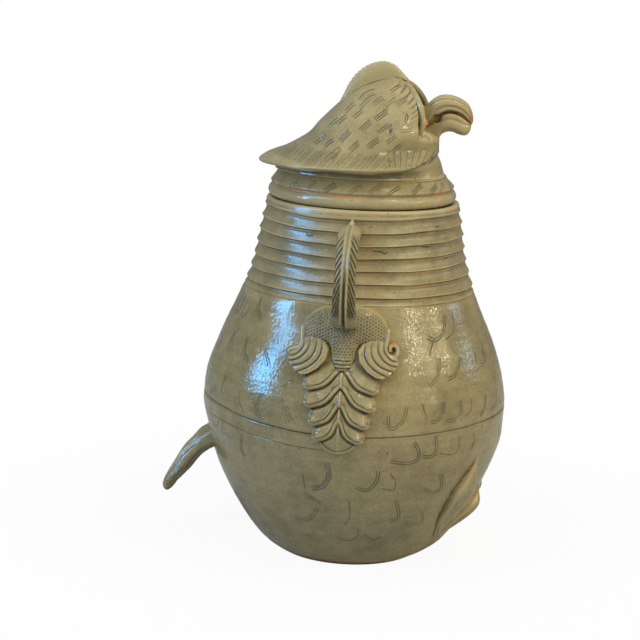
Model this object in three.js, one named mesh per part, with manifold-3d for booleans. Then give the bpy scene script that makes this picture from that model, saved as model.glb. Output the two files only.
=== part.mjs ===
// A stoneware jar in the shape of an owl, with a lid that is the owl's head.
// Millimetres, +Z up. The origin is the centre of the flat base. The owl faces -Y, its right side is -X.
import * as THREE from "three";
import { mergeVertices } from "three/addons/utils/BufferGeometryUtils.js";
import Module from "manifold-3d";

const wasm = await Module();
wasm.setup();

// Driving dimensions of the thrown body
const seamHeight = 120; // the belly line, where two thrown halves are luted together
const shoulderHeight = 214; // the top of the shoulder, under the lowest rib
const mouthHeight = 283.5; // the rim that the lid rests on
const baseRadius = 56.7;
const bellyRadius = 120.3;
const shoulderRadius = 90.6;
const wall = 7.5;
const baseThickness = 9;
const lutingGap = 0.3; // the layer of slip between two pieces
const turnSteps = 40; // facets round a thrown piece

// The ribbed neck
const ribPitch = 9.6;
const lowestRib = 220;
const ribRadii = [89.1, 86.0, 83.4, 81.8, 80.3, 78.7, 76.7];
const ribNotch = 1.8;
const mouthBore = 69.2;
const neckBoreBelow = 80;

// The lid
const lidBack = 1.4; // the lid sits this far towards the owl's back
const lidSeat = mouthHeight + lutingGap;
const lidRimRadius = 74;
const collarHeight = 305.5;
const collarTopRadius = 67.6;
const collarFootRadius = 72.2;
const flangeRadius = 66;
const flangeDrop = 12;
const flangeThickness = 5;
const headWall = 7;

// The strap handles
const strapWidth = 16;
const strapThickness = 10;

// The applied wings, feet and tail
const padRoot = -1.5; // how deep a pad starts under the flank before it is trimmed
const wingPlate = 4.5;
const featherRise = 8;
const curlRise = 9;
const toeRise = 9;
const tailWidth = 44;
const tailThickness = 12;

// The crest and the eyes
const crestThickness = 7;
const scallopPitch = 3.6;
const scallopDepth = 0.9;
const eyeRadius = 6.5;

const glaze = { color: 0x827f66, roughness: 0.28, metalness: 0 };
const bareClay = { color: 0xb3673f, roughness: 0.8, metalness: 0 };

// A smooth function through a few points, each [place, value]
function curveThrough(points) {
  const slopes = points.map((_, i) => {
    const before = points[Math.max(i - 1, 0)];
    const after = points[Math.min(i + 1, points.length - 1)];
    return (after[1] - before[1]) / (after[0] - before[0]);
  });
  return (place) => {
    const last = points.length - 2;
    let i = points.findIndex((p) => place < p[0]) - 1;
    i = i < -1 ? last : Math.min(Math.max(i, 0), last);
    const span = points[i + 1][0] - points[i][0];
    const t = THREE.MathUtils.clamp((place - points[i][0]) / span, 0, 1);
    const rest = 1 - t;
    const start = (1 + 2 * t) * rest * rest * points[i][1] + t * rest * rest * span * slopes[i];
    const end = t * t * (3 - 2 * t) * points[i + 1][1] - t * t * rest * span * slopes[i + 1];
    return start + end;
  };
}

// The outer radius of the pear-shaped body at a height
const bodyRadius = curveThrough([
  [0, baseRadius],
  [8, 69.1],
  [30, 86.2],
  [70, 107.5],
  [104, 118],
  [seamHeight, bellyRadius],
  [150, 116.8],
  [175, 108],
  [200, 96.4],
  [shoulderHeight, shoulderRadius],
]);

function levels(low, high, count) {
  return Array.from({ length: count }, (_, i) => low + ((high - low) * i) / (count - 1));
}

// Turns a mesh's faces round where they point inwards
function facingOut(geometry) {
  const place = geometry.getAttribute("position");
  const corners = geometry.index.array;
  const a = new THREE.Vector3();
  const b = new THREE.Vector3();
  const c = new THREE.Vector3();
  let volume = 0;
  for (let i = 0; i < corners.length; i += 3) {
    a.fromBufferAttribute(place, corners[i]);
    b.fromBufferAttribute(place, corners[i + 1]);
    c.fromBufferAttribute(place, corners[i + 2]);
    volume += a.dot(b.cross(c));
  }
  if (volume > 0) return geometry;
  for (let i = 0; i < corners.length; i += 3) {
    [corners[i + 1], corners[i + 2]] = [corners[i + 2], corners[i + 1]];
  }
  return geometry;
}

function joined(geometry) {
  geometry.deleteAttribute("normal");
  geometry.deleteAttribute("uv");
  return facingOut(mergeVertices(geometry, 1e-4));
}

// A piece thrown on the wheel, from a profile of [radius, height]
function thrown(profile, steps = turnSteps) {
  const outline = profile.map(([r, z]) => new THREE.Vector2(r, z));
  return joined(new THREE.LatheGeometry(outline, steps).rotateX(Math.PI / 2));
}

// A closed solid through rings of points, with both end rings filled
function throughRings(rings) {
  const count = rings[0].length;
  const places = rings.flat().flatMap((p) => [p.x, p.y, p.z]);
  const corners = [];
  for (let i = 0; i < rings.length - 1; i++) {
    for (let j = 0; j < count; j++) {
      const a = i * count + j;
      const b = i * count + ((j + 1) % count);
      corners.push(a, b, b + count, a, b + count, a + count);
    }
  }
  [0, rings.length - 1].forEach((end) => {
    const middle = new THREE.Vector3();
    rings[end].forEach((p) => middle.addScaledVector(p, 1 / count));
    places.push(middle.x, middle.y, middle.z);
    const centre = places.length / 3 - 1;
    for (let j = 0; j < count; j++) {
      const a = end * count + j;
      const b = end * count + ((j + 1) % count);
      corners.push(...(end === 0 ? [centre, b, a] : [centre, a, b]));
    }
  });
  const geometry = new THREE.BufferGeometry();
  geometry.setAttribute("position", new THREE.Float32BufferAttribute(places, 3));
  geometry.setIndex(corners);
  return joined(geometry);
}

function toSolid(geometry) {
  return new wasm.Manifold(
    new wasm.Mesh({
      numProp: 3,
      vertProperties: new Float32Array(geometry.getAttribute("position").array),
      triVerts: new Uint32Array(geometry.index.array),
    }),
  );
}

function toGeometry(solid) {
  const mesh = solid.getMesh();
  const geometry = new THREE.BufferGeometry();
  geometry.setAttribute("position", new THREE.Float32BufferAttribute(mesh.vertProperties, 3));
  geometry.setIndex(Array.from(mesh.triVerts));
  return geometry;
}

// The largest body of a solid, without small offcuts and sealed hollows
function mainBody(solid) {
  return solid.decompose().sort((a, b) => b.volume() - a.volume())[0];
}

function cut(geometry, ...cutters) {
  const solid = cutters.map(toSolid).reduce((left, cutter) => left.subtract(cutter), toSolid(geometry));
  return toGeometry(mainBody(solid));
}

function unite(geometries) {
  return toGeometry(mainBody(geometries.map(toSolid).reduce((all, next) => all.add(next))));
}

// The same piece for the owl's left side
function mirrored(geometry) {
  return facingOut(geometry.clone().scale(-1, 1, 1));
}

// The heights at which the lower bowl's curve has its rings
const bowlLevels = [0, 3, 9, 18, 30, 46, 64, 84, 104, seamHeight];

// The thrown body, in two halves
function lowerBowl() {
  const outside = bowlLevels;
  const inside = [seamHeight, 98, 70, 44, 26, 18];
  return thrown([
    [0, 0],
    ...outside.map((z) => [bodyRadius(z), z]),
    ...inside.map((z) => [bodyRadius(z) - wall, z]),
    [56, baseThickness + 2],
    [0, baseThickness],
  ]);
}

function upperShell() {
  const foot = seamHeight + lutingGap;
  const outside = [...levels(foot, 200, 8), 207, shoulderHeight];
  const inside = levels(foot, 200, 6);
  const profile = [
    ...outside.map((z) => [bodyRadius(z), z]),
    [neckBoreBelow, shoulderHeight],
    ...inside.reverse().map((z) => [bodyRadius(z) - wall, z]),
  ];
  return thrown([...profile, profile[0]]);
}

// Every rib swells towards a lip near its lower edge and is parted from the next by a notch
function neckProfile(grow = 0) {
  const outline = [];
  ribRadii.forEach((radius, i) => {
    const z = lowestRib + ribPitch * i;
    outline.push([radius - ribNotch, z - 4.8], [radius, z - 3.5], [radius - 0.3, z + 0.5]);
    if (i < ribRadii.length - 1) outline.push([ribRadii[i + 1] - ribNotch + 0.6, z + 4]);
  });
  outline[0][1] = shoulderHeight + lutingGap;
  outline.push([76, mouthHeight - 1.5], [74.6, mouthHeight]);
  return outline.map(([r, z]) => [r + grow, z]);
}

function ribbedNeck() {
  const outside = neckProfile();
  const inside = [
    [mouthBore + 1.6, mouthHeight],
    [mouthBore, mouthHeight - 2],
    [75, 244],
    [neckBoreBelow - 0.2, shoulderHeight + lutingGap],
  ];
  return thrown([...outside, ...inside, outside[0]]);
}

// The outside of body and neck, grown by the luting gap, which trims what is stuck on
function bodyCutter() {
  const heights = [...bowlLevels.slice(0, -1), ...levels(seamHeight, 200, 8), 207];
  return thrown([
    [0, 0],
    ...heights.map((z) => [bodyRadius(z) + lutingGap, z]),
    [shoulderRadius + lutingGap, shoulderHeight],
    ...neckProfile(lutingGap),
    [0, mouthHeight],
  ]);
}

// A strap handle, which stands on the shoulder and ends on the neck. It lies in the plane y = 0.
function strapHandle(trimmers) {
  const route = new THREE.SplineCurve(
    [
      [70, 266],
      [88, 270],
      [102, 268.5],
      [113, 260],
      [119.5, 247],
      [122, 233],
      [121, 219],
      [114, 207],
      [103, 198],
      [89, 190],
    ].map(([r, z]) => new THREE.Vector2(r, z)),
  );
  const steps = 20;
  const widthAlong = curveThrough([
    [0, strapWidth],
    [0.4, strapWidth - 1],
    [0.8, strapWidth + 4],
    [1, strapWidth + 6],
  ]);
  const sides = 14;
  const rings = levels(0, 1, steps + 1).map((t) => {
    const at = route.getPointAt(t);
    const along = route.getTangentAt(t);
    return Array.from({ length: sides }, (_, j) => {
      const turn = (j / sides) * 2 * Math.PI;
      const groove = 0.82 + 0.18 * Math.min(1, Math.abs(Math.sin(turn)) * 2.2);
      const out = Math.cos(turn) > 0.5 ? groove : 1;
      const thick = (strapThickness / 2) * Math.sign(Math.cos(turn)) * Math.abs(Math.cos(turn)) ** 0.7 * out;
      const wide = (widthAlong(t) / 2) * Math.sign(Math.sin(turn)) * Math.abs(Math.sin(turn)) ** 0.7;
      const r = at.x - along.y * thick;
      const z = at.y + along.x * thick;
      return new THREE.Vector3(-r, wide, z);
    });
  });
  return cut(throughRings(rings), ...trimmers);
}

// A place on the owl's right flank: u runs round the body towards the back, rise stands off it
function onFlank(u, z, rise) {
  const turn = u / bodyRadius(z);
  const r = bodyRadius(z) + rise;
  return new THREE.Vector3(-r * Math.cos(turn), r * Math.sin(turn), z);
}

// A long pad of clay pressed on the flank. Its middle line is a curve of [u, z].
function flankPad(line, halfWidth, rise, steps = 6, sides = 8) {
  const route = new THREE.SplineCurve(line.map(([u, z]) => new THREE.Vector2(u, z)));
  const rings = levels(0.02, 0.98, steps).map((t) => {
    const at = route.getPoint(t);
    const along = route.getTangent(t);
    const taper = Math.sqrt(1 - (2 * t - 1) ** 4);
    const wide = halfWidth * taper;
    return Array.from({ length: sides }, (_, j) => {
      const turn = (j / sides) * 2 * Math.PI;
      const across = wide * Math.cos(turn);
      const up = Math.sin(turn) < -0.1 ? padRoot : Math.sin(turn) * rise * taper;
      return onFlank(at.x - along.y * across, at.y + along.x * across, up);
    });
  });
  return throughRings(rings);
}

// The stippled shoulder of a wing, a plate between the handle's foot and the curls
function wingShoulder(grow = 0) {
  const outline = new THREE.SplineCurve(
    [
      [0, 209],
      [16, 208.5],
      [30, 202],
      [34, 190],
      [25, 181],
      [14, 170],
      [8, 158],
      [0, 152],
      [-8, 158],
      [-14, 170],
      [-25, 181],
      [-34, 192],
      [-31, 204],
      [-16, 210],
      [0, 209],
    ].map(([u, z]) => new THREE.Vector2(u, z)),
  );
  const centre = new THREE.Vector2(0, 190);
  const count = 30;
  const ring = (share, rise) =>
    Array.from({ length: count }, (_, j) => {
      const edge = outline.getPoint(j / count).sub(centre);
      edge.multiplyScalar(share * (1 + grow / edge.length())).add(centre);
      return onFlank(edge.x, edge.y, rise);
    });
  const top = wingPlate + grow;
  return throughRings([
    ring(0.1, padRoot),
    ring(1, padRoot),
    ring(1, wingPlate / 2 + grow),
    ring(0.93, top),
    ring(0.5, top + 0.4),
    ring(0.1, top + 0.5),
  ]);
}

// The leaf-shaped plate under the overlapping feathers
function featherPlate() {
  const half = [
    [0, 166],
    [14, 165],
    [22, 156],
    [22, 142],
    [18, 128],
    [11, 116],
    [0, 109],
  ];
  const outline = [...half, ...half.slice(1, -1).reverse().map(([u, z]) => [-u, z])];
  const centre = new THREE.Vector2(0, 142);
  const ring = (share, rise) =>
    outline.map(([u, z]) => {
      const at = new THREE.Vector2(u, z).sub(centre).multiplyScalar(share).add(centre);
      return onFlank(at.x, at.y, rise);
    });
  return throughRings([
    ring(0.4, padRoot),
    ring(1, padRoot),
    ring(0.96, wingPlate),
    ring(0.4, wingPlate + 1),
  ]);
}

// The whole wing: the stippled shoulder, two curls, four feathers a side and the end feather
function wing(trimmer) {
  const pads = [wingShoulder(), featherPlate()];
  const rows = 4;
  [1, -1].forEach((side) => {
    const curl = [[12, 187], [12.5, 175], [21, 167], [31, 169], [34, 178]];
    pads.push(flankPad(curl.map(([u, z]) => [side * u, z]), 8.5, curlRise, 8));
    for (let i = 0; i < rows; i++) {
      const root = 167 - 12.5 * i;
      const reach = 31 - 3.2 * i;
      const feather = [[1, root], [reach * 0.5, root - 11.5], [reach, root - 13]];
      pads.push(flankPad(feather.map(([u, z]) => [side * u, z]), 7.6, featherRise - 0.6 * i));
    }
  });
  pads.push(flankPad([[0, 128], [0, 118], [0, 107.5]], 10, 5.5));
  return cut(unite(pads), trimmer);
}

// A foot, two toes of clay on the belly's front. Angles are from the owl's front towards its right side.
function foot(trimmer) {
  const toe = (line, halfWidth) => {
    const flank = line.map(([angle, z]) => [
      (THREE.MathUtils.degToRad(angle) - Math.PI / 2) * bodyRadius(z),
      z,
    ]);
    return flankPad(flank, halfWidth, toeRise, 8, 8);
  };
  const toes = [
    toe([[20, 98], [21, 78], [24, 52], [30, 25]], 9.5),
    toe([[12, 76], [11.5, 62], [16, 44], [25, 24]], 8),
  ];
  return cut(unite(toes), trimmer);
}

// The tail, a fan that curves down and away from the back
function tail(cutter) {
  const route = new THREE.SplineCurve(
    [
      [106, 88],
      [118, 80],
      [129, 70],
      [139, 57.5],
      [147, 45],
      [150.5, 35.5],
    ].map(([y, z]) => new THREE.Vector2(y, z)),
  );
  const sides = 16;
  const rings = levels(0, 1, 11).map((t) => {
    const at = route.getPointAt(t);
    const along = route.getTangentAt(t);
    const end = Math.sqrt(Math.max(0.06, 1 - ((t - 0.75) / 0.26) ** 2 * (t > 0.75 ? 1 : 0)));
    const wide = (tailWidth / 2) * (0.78 + 0.22 * Math.sin(t * Math.PI)) * (t > 0.75 ? end : 1);
    const thick = (tailThickness / 2) * (t > 0.85 ? 0.55 + 0.45 * end : 1);
    return Array.from({ length: sides }, (_, j) => {
      const turn = (j / sides) * 2 * Math.PI;
      const across = wide * Math.cos(turn);
      const up = thick * Math.sign(Math.sin(turn)) * Math.abs(Math.sin(turn)) ** 0.75;
      return new THREE.Vector3(across, at.x - along.y * up, at.y + along.x * up);
    });
  });
  return cut(throughRings(rings), cutter);
}

// The lid's thrown ring: a locating flange, a rolled rim, a groove and a coned collar
function lidBand() {
  const profile = [
    [flangeRadius - flangeThickness, lidSeat - flangeDrop],
    [flangeRadius - 0.8, lidSeat - flangeDrop],
    [flangeRadius, lidSeat - flangeDrop + 2],
    [flangeRadius, lidSeat],
    [71.5, lidSeat],
    [73.4, lidSeat + 1.8],
    [lidRimRadius, lidSeat + 5],
    [73.3, lidSeat + 8],
    [72.2, lidSeat + 9.2],
    [71.2, lidSeat + 10.2],
    [collarFootRadius, lidSeat + 11.8],
    [collarTopRadius, collarHeight],
    [collarTopRadius - headWall, collarHeight],
    [flangeRadius - flangeThickness, lidSeat + 4],
  ];
  return thrown([...profile, profile[0]]).translate(0, lidBack, 0);
}

// How far the head reaches forward, back and to each side, by height
const headFront = curveThrough([
  [305.8, 64.6], [312, 60.3], [318, 57.6], [328, 55.6], [336, 56.2], [345, 54.5], [353, 52.4], [358, 50.5],
  [362, 47.5], [370, 40.5], [377, 31], [378.6, 26],
]);
const headBack = curveThrough([
  [305.8, 69.4], [309, 71], [317, 72], [323, 62.2], [333, 46.3], [343, 37], [352.8, 27.4], [362, 17.8], [370.3, 6.4],
  [376, -5.5], [378.6, -14],
]);
const headSide = curveThrough([
  [305.8, 66.8], [309, 68], [317, 71], [323, 66], [333, 59], [343, 52.5], [352.8, 45], [362, 34.5], [370.3, 21],
  [376, 9], [378.6, 2],
]);

// One level ring of the head. Towards the front it is squarer, because the face is flat.
function headRing(z, { inset = 0, flare = 0, lift = 0 } = {}) {
  const count = 40;
  return Array.from({ length: count }, (_, j) => {
    const turn = (j / count) * 2 * Math.PI;
    const forward = Math.cos(turn);
    const sideways = Math.sin(turn);
    const square = z > 330 && forward > 0 ? 0.86 : 1;
    const bow = (v) => Math.sign(v) * Math.abs(v) ** square;
    const reach = forward > 0 ? headFront(z) : headBack(z);
    const brim = flare * (1 - THREE.MathUtils.smoothstep(forward, 0.25, 0.95));
    const middle = (headFront(z) - headBack(z)) / 2;
    const centre = THREE.MathUtils.smoothstep(z, 340, 372) * middle;
    const away = forward > 0 ? -centre : centre;
    const y = -centre - bow(forward) * Math.max(0.5, reach + away - inset + brim);
    const x = -bow(sideways) * Math.max(0.5, headSide(z) - inset + brim);
    return new THREE.Vector3(x, y, z + lift * (forward + 0.3));
  });
}

// The owl's head, a hollow dome with a brim that flares over the collar
function headHood() {
  const rings = [
    headRing(collarHeight + lutingGap, { inset: 0.4 }),
    headRing(308, { inset: 0 }),
    headRing(311, { flare: 8.2, lift: 1.5 }),
    headRing(313.5, { flare: 9.6, lift: 2 }),
    headRing(317, { flare: 5, lift: 1 }),
    headRing(323),
    headRing(333),
    headRing(343),
    headRing(352.8),
    headRing(362),
    headRing(370.3),
    headRing(376),
    headRing(378.6),
  ];
  const hollow = [
    headRing(300, { inset: headWall }),
    headRing(309, { inset: headWall }),
    headRing(323, { inset: headWall }),
    headRing(343, { inset: headWall }),
    headRing(362, { inset: headWall }),
    headRing(367, { inset: headWall + 4 }),
  ];
  return cut(throughRings(rings), throughRings(hollow));
}

// The head's outside, grown by the luting gap, which trims what is stuck on it
function headCutter() {
  const grown = { inset: -lutingGap };
  return throughRings([
    headRing(308, grown),
    headRing(311, { flare: 8.2, lift: 1.5, ...grown }),
    headRing(313.5, { flare: 9.6, lift: 2, ...grown }),
    headRing(317, { flare: 5, lift: 1, ...grown }),
    ...[323, 333, 343, 352.8, 362, 370.3, 376, 378.9].map((z) => headRing(z, grown)),
  ]);
}

// The crest, an upright fin with a scalloped edge along the top of the head
function crest(cutter) {
  const edge = new THREE.SplineCurve(
    [
      [-21, 357],
      [-16.3, 365.2],
      [-12.7, 372.3],
      [-6.8, 380.4],
      [0.7, 386.1],
      [8.3, 389.6],
      [14.5, 390.4],
      [20.1, 388.6],
      [24.5, 385],
      [31, 378.6],
      [36, 373],
    ].map(([f, z]) => new THREE.Vector2(f, z)),
  );
  const scallops = Math.round(edge.getLength() / scallopPitch);
  const outline = new THREE.Shape();
  outline.moveTo(-21, 354);
  levels(0, 1, scallops * 4 + 1).forEach((t, i) => {
    const at = edge.getPointAt(t);
    const along = edge.getTangentAt(t);
    const dip = scallopDepth * (1 - Math.abs(Math.sin((Math.PI * i) / 4)));
    outline.lineTo(at.x + along.y * dip, at.y - along.x * dip);
  });
  outline.lineTo(30, 366);
  outline.lineTo(0, 362);
  const fin = new THREE.ExtrudeGeometry(outline, { depth: crestThickness, bevelEnabled: false });
  // The outline's first axis is the owl's forward direction, which is -Y
  const turned = fin.translate(0, 0, -crestThickness / 2);
  turned.applyMatrix4(new THREE.Matrix4().makeBasis(
    new THREE.Vector3(0, -1, 0),
    new THREE.Vector3(0, 0, 1),
    new THREE.Vector3(-1, 0, 0),
  ));
  return cut(joined(turned), cutter);
}

// The raised rim of the facial disc on the owl's right side
function brow(trimmers) {
  const route = new THREE.CatmullRomCurve3(
    [
      [8, 28, 379],
      [18, 35, 375],
      [27, 40, 368.5],
      [33, 43, 360],
      [35.5, 43.5, 351],
      [34.5, 42, 342],
      [31, 41, 334],
    ].map(([side, forward, z]) => new THREE.Vector3(-side, -forward, z)),
  );
  const sides = 10;
  const rings = levels(0, 1, 13).map((t) => {
    const at = route.getPoint(t);
    const along = route.getTangent(t);
    const out = new THREE.Vector3(0, -1, 0).addScaledVector(along, along.y).normalize();
    const across = new THREE.Vector3().crossVectors(along, out);
    const taper = Math.sqrt(Math.max(0.08, 1 - (2 * t - 1) ** 4));
    return Array.from({ length: sides }, (_, j) => {
      const turn = (j / sides) * 2 * Math.PI;
      return at
        .clone()
        .addScaledVector(out, 6 * taper * Math.cos(turn))
        .addScaledVector(across, 4 * taper * Math.sin(turn));
    });
  });
  return cut(throughRings(rings), ...trimmers);
}

// A domed pellet for an eye, at the owl's right side
function eye(trimmers) {
  const pellet = new THREE.SphereGeometry(eyeRadius, 16, 12);
  return cut(joined(pellet.translate(-21, -46, 347)), ...trimmers);
}

// Half of the beak, between an upper and a lower line of [forward, z], each station with its half width
function beakHalf(stations, trimmers) {
  const sides = 14;
  const rings = stations.map(([topF, topZ, lowF, lowZ, halfWidth]) =>
    Array.from({ length: sides }, (_, j) => {
      const turn = (j / sides) * 2 * Math.PI;
      const up = Math.sign(Math.cos(turn)) * Math.abs(Math.cos(turn)) ** 0.75;
      const share = (1 + up) / 2;
      const x = halfWidth * Math.sign(Math.sin(turn)) * Math.abs(Math.sin(turn)) ** 0.75;
      const forward = lowF + (topF - lowF) * share;
      return new THREE.Vector3(x, -forward, lowZ + (topZ - lowZ) * share);
    }),
  );
  return cut(throughRings(rings), ...trimmers);
}

function upperBeak(trimmers) {
  return beakHalf(
    [
      [42, 357, 45, 343, 9],
      [51.5, 364.4, 54, 349.2, 11.5],
      [56.4, 366.8, 58.2, 352.2, 12.5],
      [61.8, 367.5, 61.8, 354.4, 12.5],
      [67.8, 366.8, 66, 355.3, 12],
      [73.7, 364.6, 70.6, 354.8, 11],
      [78.8, 360.8, 74.4, 353.3, 9.5],
      [81.8, 355.4, 77.4, 351.2, 8],
      [82.9, 350.5, 79.8, 348.9, 5.5],
      [82.6, 347.6, 81.4, 347.3, 2.5],
    ],
    trimmers,
  );
}

function lowerBeak(trimmers) {
  return beakHalf(
    [
      [42, 341, 46, 328, 7],
      [54.5, 344.6, 56.5, 333, 8.5],
      [58, 348.8, 59.5, 337.4, 9.5],
      [62, 352.6, 64, 339.2, 10],
      [66, 353.9, 68, 339, 10],
      [70.6, 353.3, 72, 337.6, 9.5],
      [75, 350.8, 76, 336.8, 8.5],
      [79, 347.4, 79, 338, 6.5],
      [81.8, 344.6, 81.4, 341.6, 2.5],
    ],
    trimmers,
  );
}

function piece(name, geometry, look = glaze) {
  const bare = geometry.clone();
  bare.computeVertexNormals();
  const mesh = new THREE.Mesh(bare, new THREE.MeshStandardMaterial(look));
  mesh.name = name;
  return mesh;
}

// The jar
const jar = new THREE.Group();
const bodySide = bodyCutter();
const rightWing = wing(bodySide);
const rightHandle = strapHandle([bodySide, wingShoulder(lutingGap)]);
const rightFoot = foot(bodySide);
jar.add(
  piece("lower_bowl", lowerBowl()),
  piece("upper_shell", upperShell()),
  piece("ribbed_neck", ribbedNeck()),
  piece("right_handle", rightHandle),
  piece("left_handle", mirrored(rightHandle)),
  piece("right_wing_relief", rightWing),
  piece("left_wing_relief", mirrored(rightWing)),
  piece("right_foot", rightFoot),
  piece("left_foot", mirrored(rightFoot)),
  piece("tail", tail(bodySide)),
);

// The lid
const lid = new THREE.Group();
const headSideCutter = headCutter();
const upperHalf = upperBeak([headSideCutter]);
const lowerHalf = lowerBeak([headSideCutter]);
const rightBrow = brow([headSideCutter]);
const rightEye = eye([headSideCutter]);
lid.add(
  piece("lid_band", lidBand()),
  piece("head_hood", headHood()),
  piece("crest", crest(headSideCutter)),
  piece("right_brow", rightBrow),
  piece("left_brow", mirrored(rightBrow)),
  piece("right_eye", rightEye, bareClay),
  piece("left_eye", mirrored(rightEye), bareClay),
  piece("upper_beak", upperHalf),
  piece("lower_beak", lowerHalf),
);

const owlJar = new THREE.Group();
owlJar.add(jar, lid);

export default owlJar;
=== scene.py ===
# %% [markdown]
# An owl-shaped jar of glazed stoneware, with a lid that is the owl's head.
# The packed model gives every piece its real place and size. This lesson starts from it,
# and works through the pot as a potter would, from the thrown body to the small stuck-on pieces.

# %% Start from the packed model
import math

import bpy
import numpy as np
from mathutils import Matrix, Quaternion, Vector


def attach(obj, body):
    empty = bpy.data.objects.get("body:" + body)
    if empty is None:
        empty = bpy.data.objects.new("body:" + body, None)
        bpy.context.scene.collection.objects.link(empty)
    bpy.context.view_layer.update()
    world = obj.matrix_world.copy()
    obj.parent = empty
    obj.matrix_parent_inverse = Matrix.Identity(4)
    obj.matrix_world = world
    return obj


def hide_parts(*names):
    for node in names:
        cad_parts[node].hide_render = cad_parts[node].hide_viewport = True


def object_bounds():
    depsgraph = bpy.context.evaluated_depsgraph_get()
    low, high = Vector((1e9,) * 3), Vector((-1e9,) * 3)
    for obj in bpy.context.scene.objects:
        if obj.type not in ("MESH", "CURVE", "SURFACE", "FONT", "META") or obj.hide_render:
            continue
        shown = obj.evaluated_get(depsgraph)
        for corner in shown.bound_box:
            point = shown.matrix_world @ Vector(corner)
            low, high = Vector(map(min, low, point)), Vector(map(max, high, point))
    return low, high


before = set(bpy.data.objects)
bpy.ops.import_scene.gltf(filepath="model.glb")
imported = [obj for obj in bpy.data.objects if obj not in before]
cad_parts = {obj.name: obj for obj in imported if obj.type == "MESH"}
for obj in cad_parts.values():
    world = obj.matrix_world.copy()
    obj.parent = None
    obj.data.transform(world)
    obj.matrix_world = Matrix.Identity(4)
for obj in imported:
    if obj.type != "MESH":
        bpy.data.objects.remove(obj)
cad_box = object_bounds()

print("pieces in the packed model:", sorted(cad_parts))

# %% [markdown]
# Blender counts in metres and the pot was measured in millimetres, so one helper turns a
# measured value into Blender's units.

# %% Millimetres
def mm(value):
    return value / 1000.0


print("the jar is", round(cad_box[1][2] / mm(1)), "mm tall")

# %% [markdown]
# The camera stands beside the owl's right flank, a little towards its face and above its head,
# and looks slightly down. Its place comes from fitting the pot's outline: how far away it is,
# how high, the point it aims at, and a small tilt of the hand that held it.

# %% Camera
azimuth = math.radians(-85)
view_right = Vector((math.cos(azimuth), math.sin(azimuth), 0))
view_forward = Vector((-math.sin(azimuth), math.cos(azimuth), 0))
camera_place = view_forward * mm(-1447) + Vector((0, 0, mm(478)))
camera_aim = view_right * mm(-29.9) + Vector((0, 0, mm(183.9)))
camera_tilt = math.radians(2.38)

camera = bpy.data.objects.new("camera", bpy.data.cameras.new("camera"))
camera.data.sensor_width = 36
camera.data.lens = 104
camera.data.clip_end = 50
camera.location = camera_place
camera.rotation_mode = "QUATERNION"
aim = (camera_aim - camera_place).to_track_quat("-Z", "Y")
camera.rotation_quaternion = aim @ Quaternion((0, 0, 1), camera_tilt)
bpy.context.scene.collection.objects.link(camera)
bpy.context.scene.camera = camera
print("camera at", [round(v, 3) for v in camera_place])

# %% [markdown]
# A finish is a tree of nodes. Writing its sums as Python expressions keeps them readable, so a
# small class wraps a socket: a sum on it adds a Math node. Every other node comes from one method.

# %% Shader sums
class Wire:
    def __init__(self, tree, socket):
        self.tree = tree
        self.socket = socket

    def node(self, kind, settings=None, inputs=None, output=0):
        made = self.tree.nodes.new(kind)
        for key, value in (settings or {}).items():
            setattr(made, key, value)
        for name, value in (inputs or {}).items():
            if isinstance(value, Wire):
                self.tree.links.new(value.socket, made.inputs[name])
            else:
                made.inputs[name].default_value = value
        return Wire(self.tree, made.outputs[output])

    def maths(self, operation, first, second):
        return self.node("ShaderNodeMath", {"operation": operation}, {0: first, 1: second})

    def __add__(self, other):
        return self.maths("ADD", self, other)

    def __mul__(self, other):
        return self.maths("MULTIPLY", self, other)

    def __sub__(self, other):
        return self.maths("SUBTRACT", self, other)

    def __rsub__(self, other):
        return self.maths("SUBTRACT", other, self)

    __radd__ = __add__
    __rmul__ = __mul__

    def __abs__(self):
        return self.node("ShaderNodeMath", {"operation": "ABSOLUTE"}, {0: self})

    def between(self, low, high):
        """0 up to the low value, 1 from the high value on"""
        values = {"Value": self, "From Min": low, "From Max": high}
        return self.node("ShaderNodeMapRange", {"clamp": True}, values)

    def noise(self, scale, detail=3.0, rough=0.5):
        values = {"Vector": self, "Scale": scale, "Detail": detail, "Roughness": rough}
        return self.node("ShaderNodeTexNoise", {}, values)


def mix(share, first, second):
    settings = {"data_type": "RGBA", "blend_type": "MIX"}
    return share.node("ShaderNodeMix", settings, {0: share, 6: first, 7: second}, output=2)


print("a wire knows:", sorted(name.strip("_") for name in vars(Wire) if callable(vars(Wire)[name])))

# %% [markdown]
# The fine shapes are worked out as arrays of numbers, in millimetres. A soft step and a bell give
# the starts, ends and ridges, and a dome the crown of a pressed-on pad. They work on single
# numbers and on whole grids alike.

# %% Steps, bells and domes
def step(value, low, high):
    """0 below the low value, 1 above the high one, with a soft change between"""
    t = np.clip((value - low) / (high - low), 0, 1)
    return t * t * (3 - 2 * t)


def bell(value, width):
    return np.exp(-((value / width) ** 2))


def dome(share):
    """A quarter circle: 1 at the share 0, and 0 at the share 1"""
    return np.sqrt(np.maximum(1 - share**2, 0))


def signed_power(value, power):
    """Powers below 1 turn a circle's sine and cosine into those of a rounder square"""
    return np.sign(value) * np.abs(value) ** power


def full_turn(count):
    return np.linspace(0, 2 * math.pi, count, endpoint=False)


def unit(vectors):
    return vectors / np.linalg.norm(vectors, axis=-1, keepdims=True)


print("a step from 2 to 6, at 3, 4 and 5:", step(np.array([3, 4, 5]), 2, 6))

# %% [markdown]
# An outline needs few measured points when a smooth curve runs through them. A modelled strip is
# a table of stations, and each column of the table is one such curve.

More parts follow.
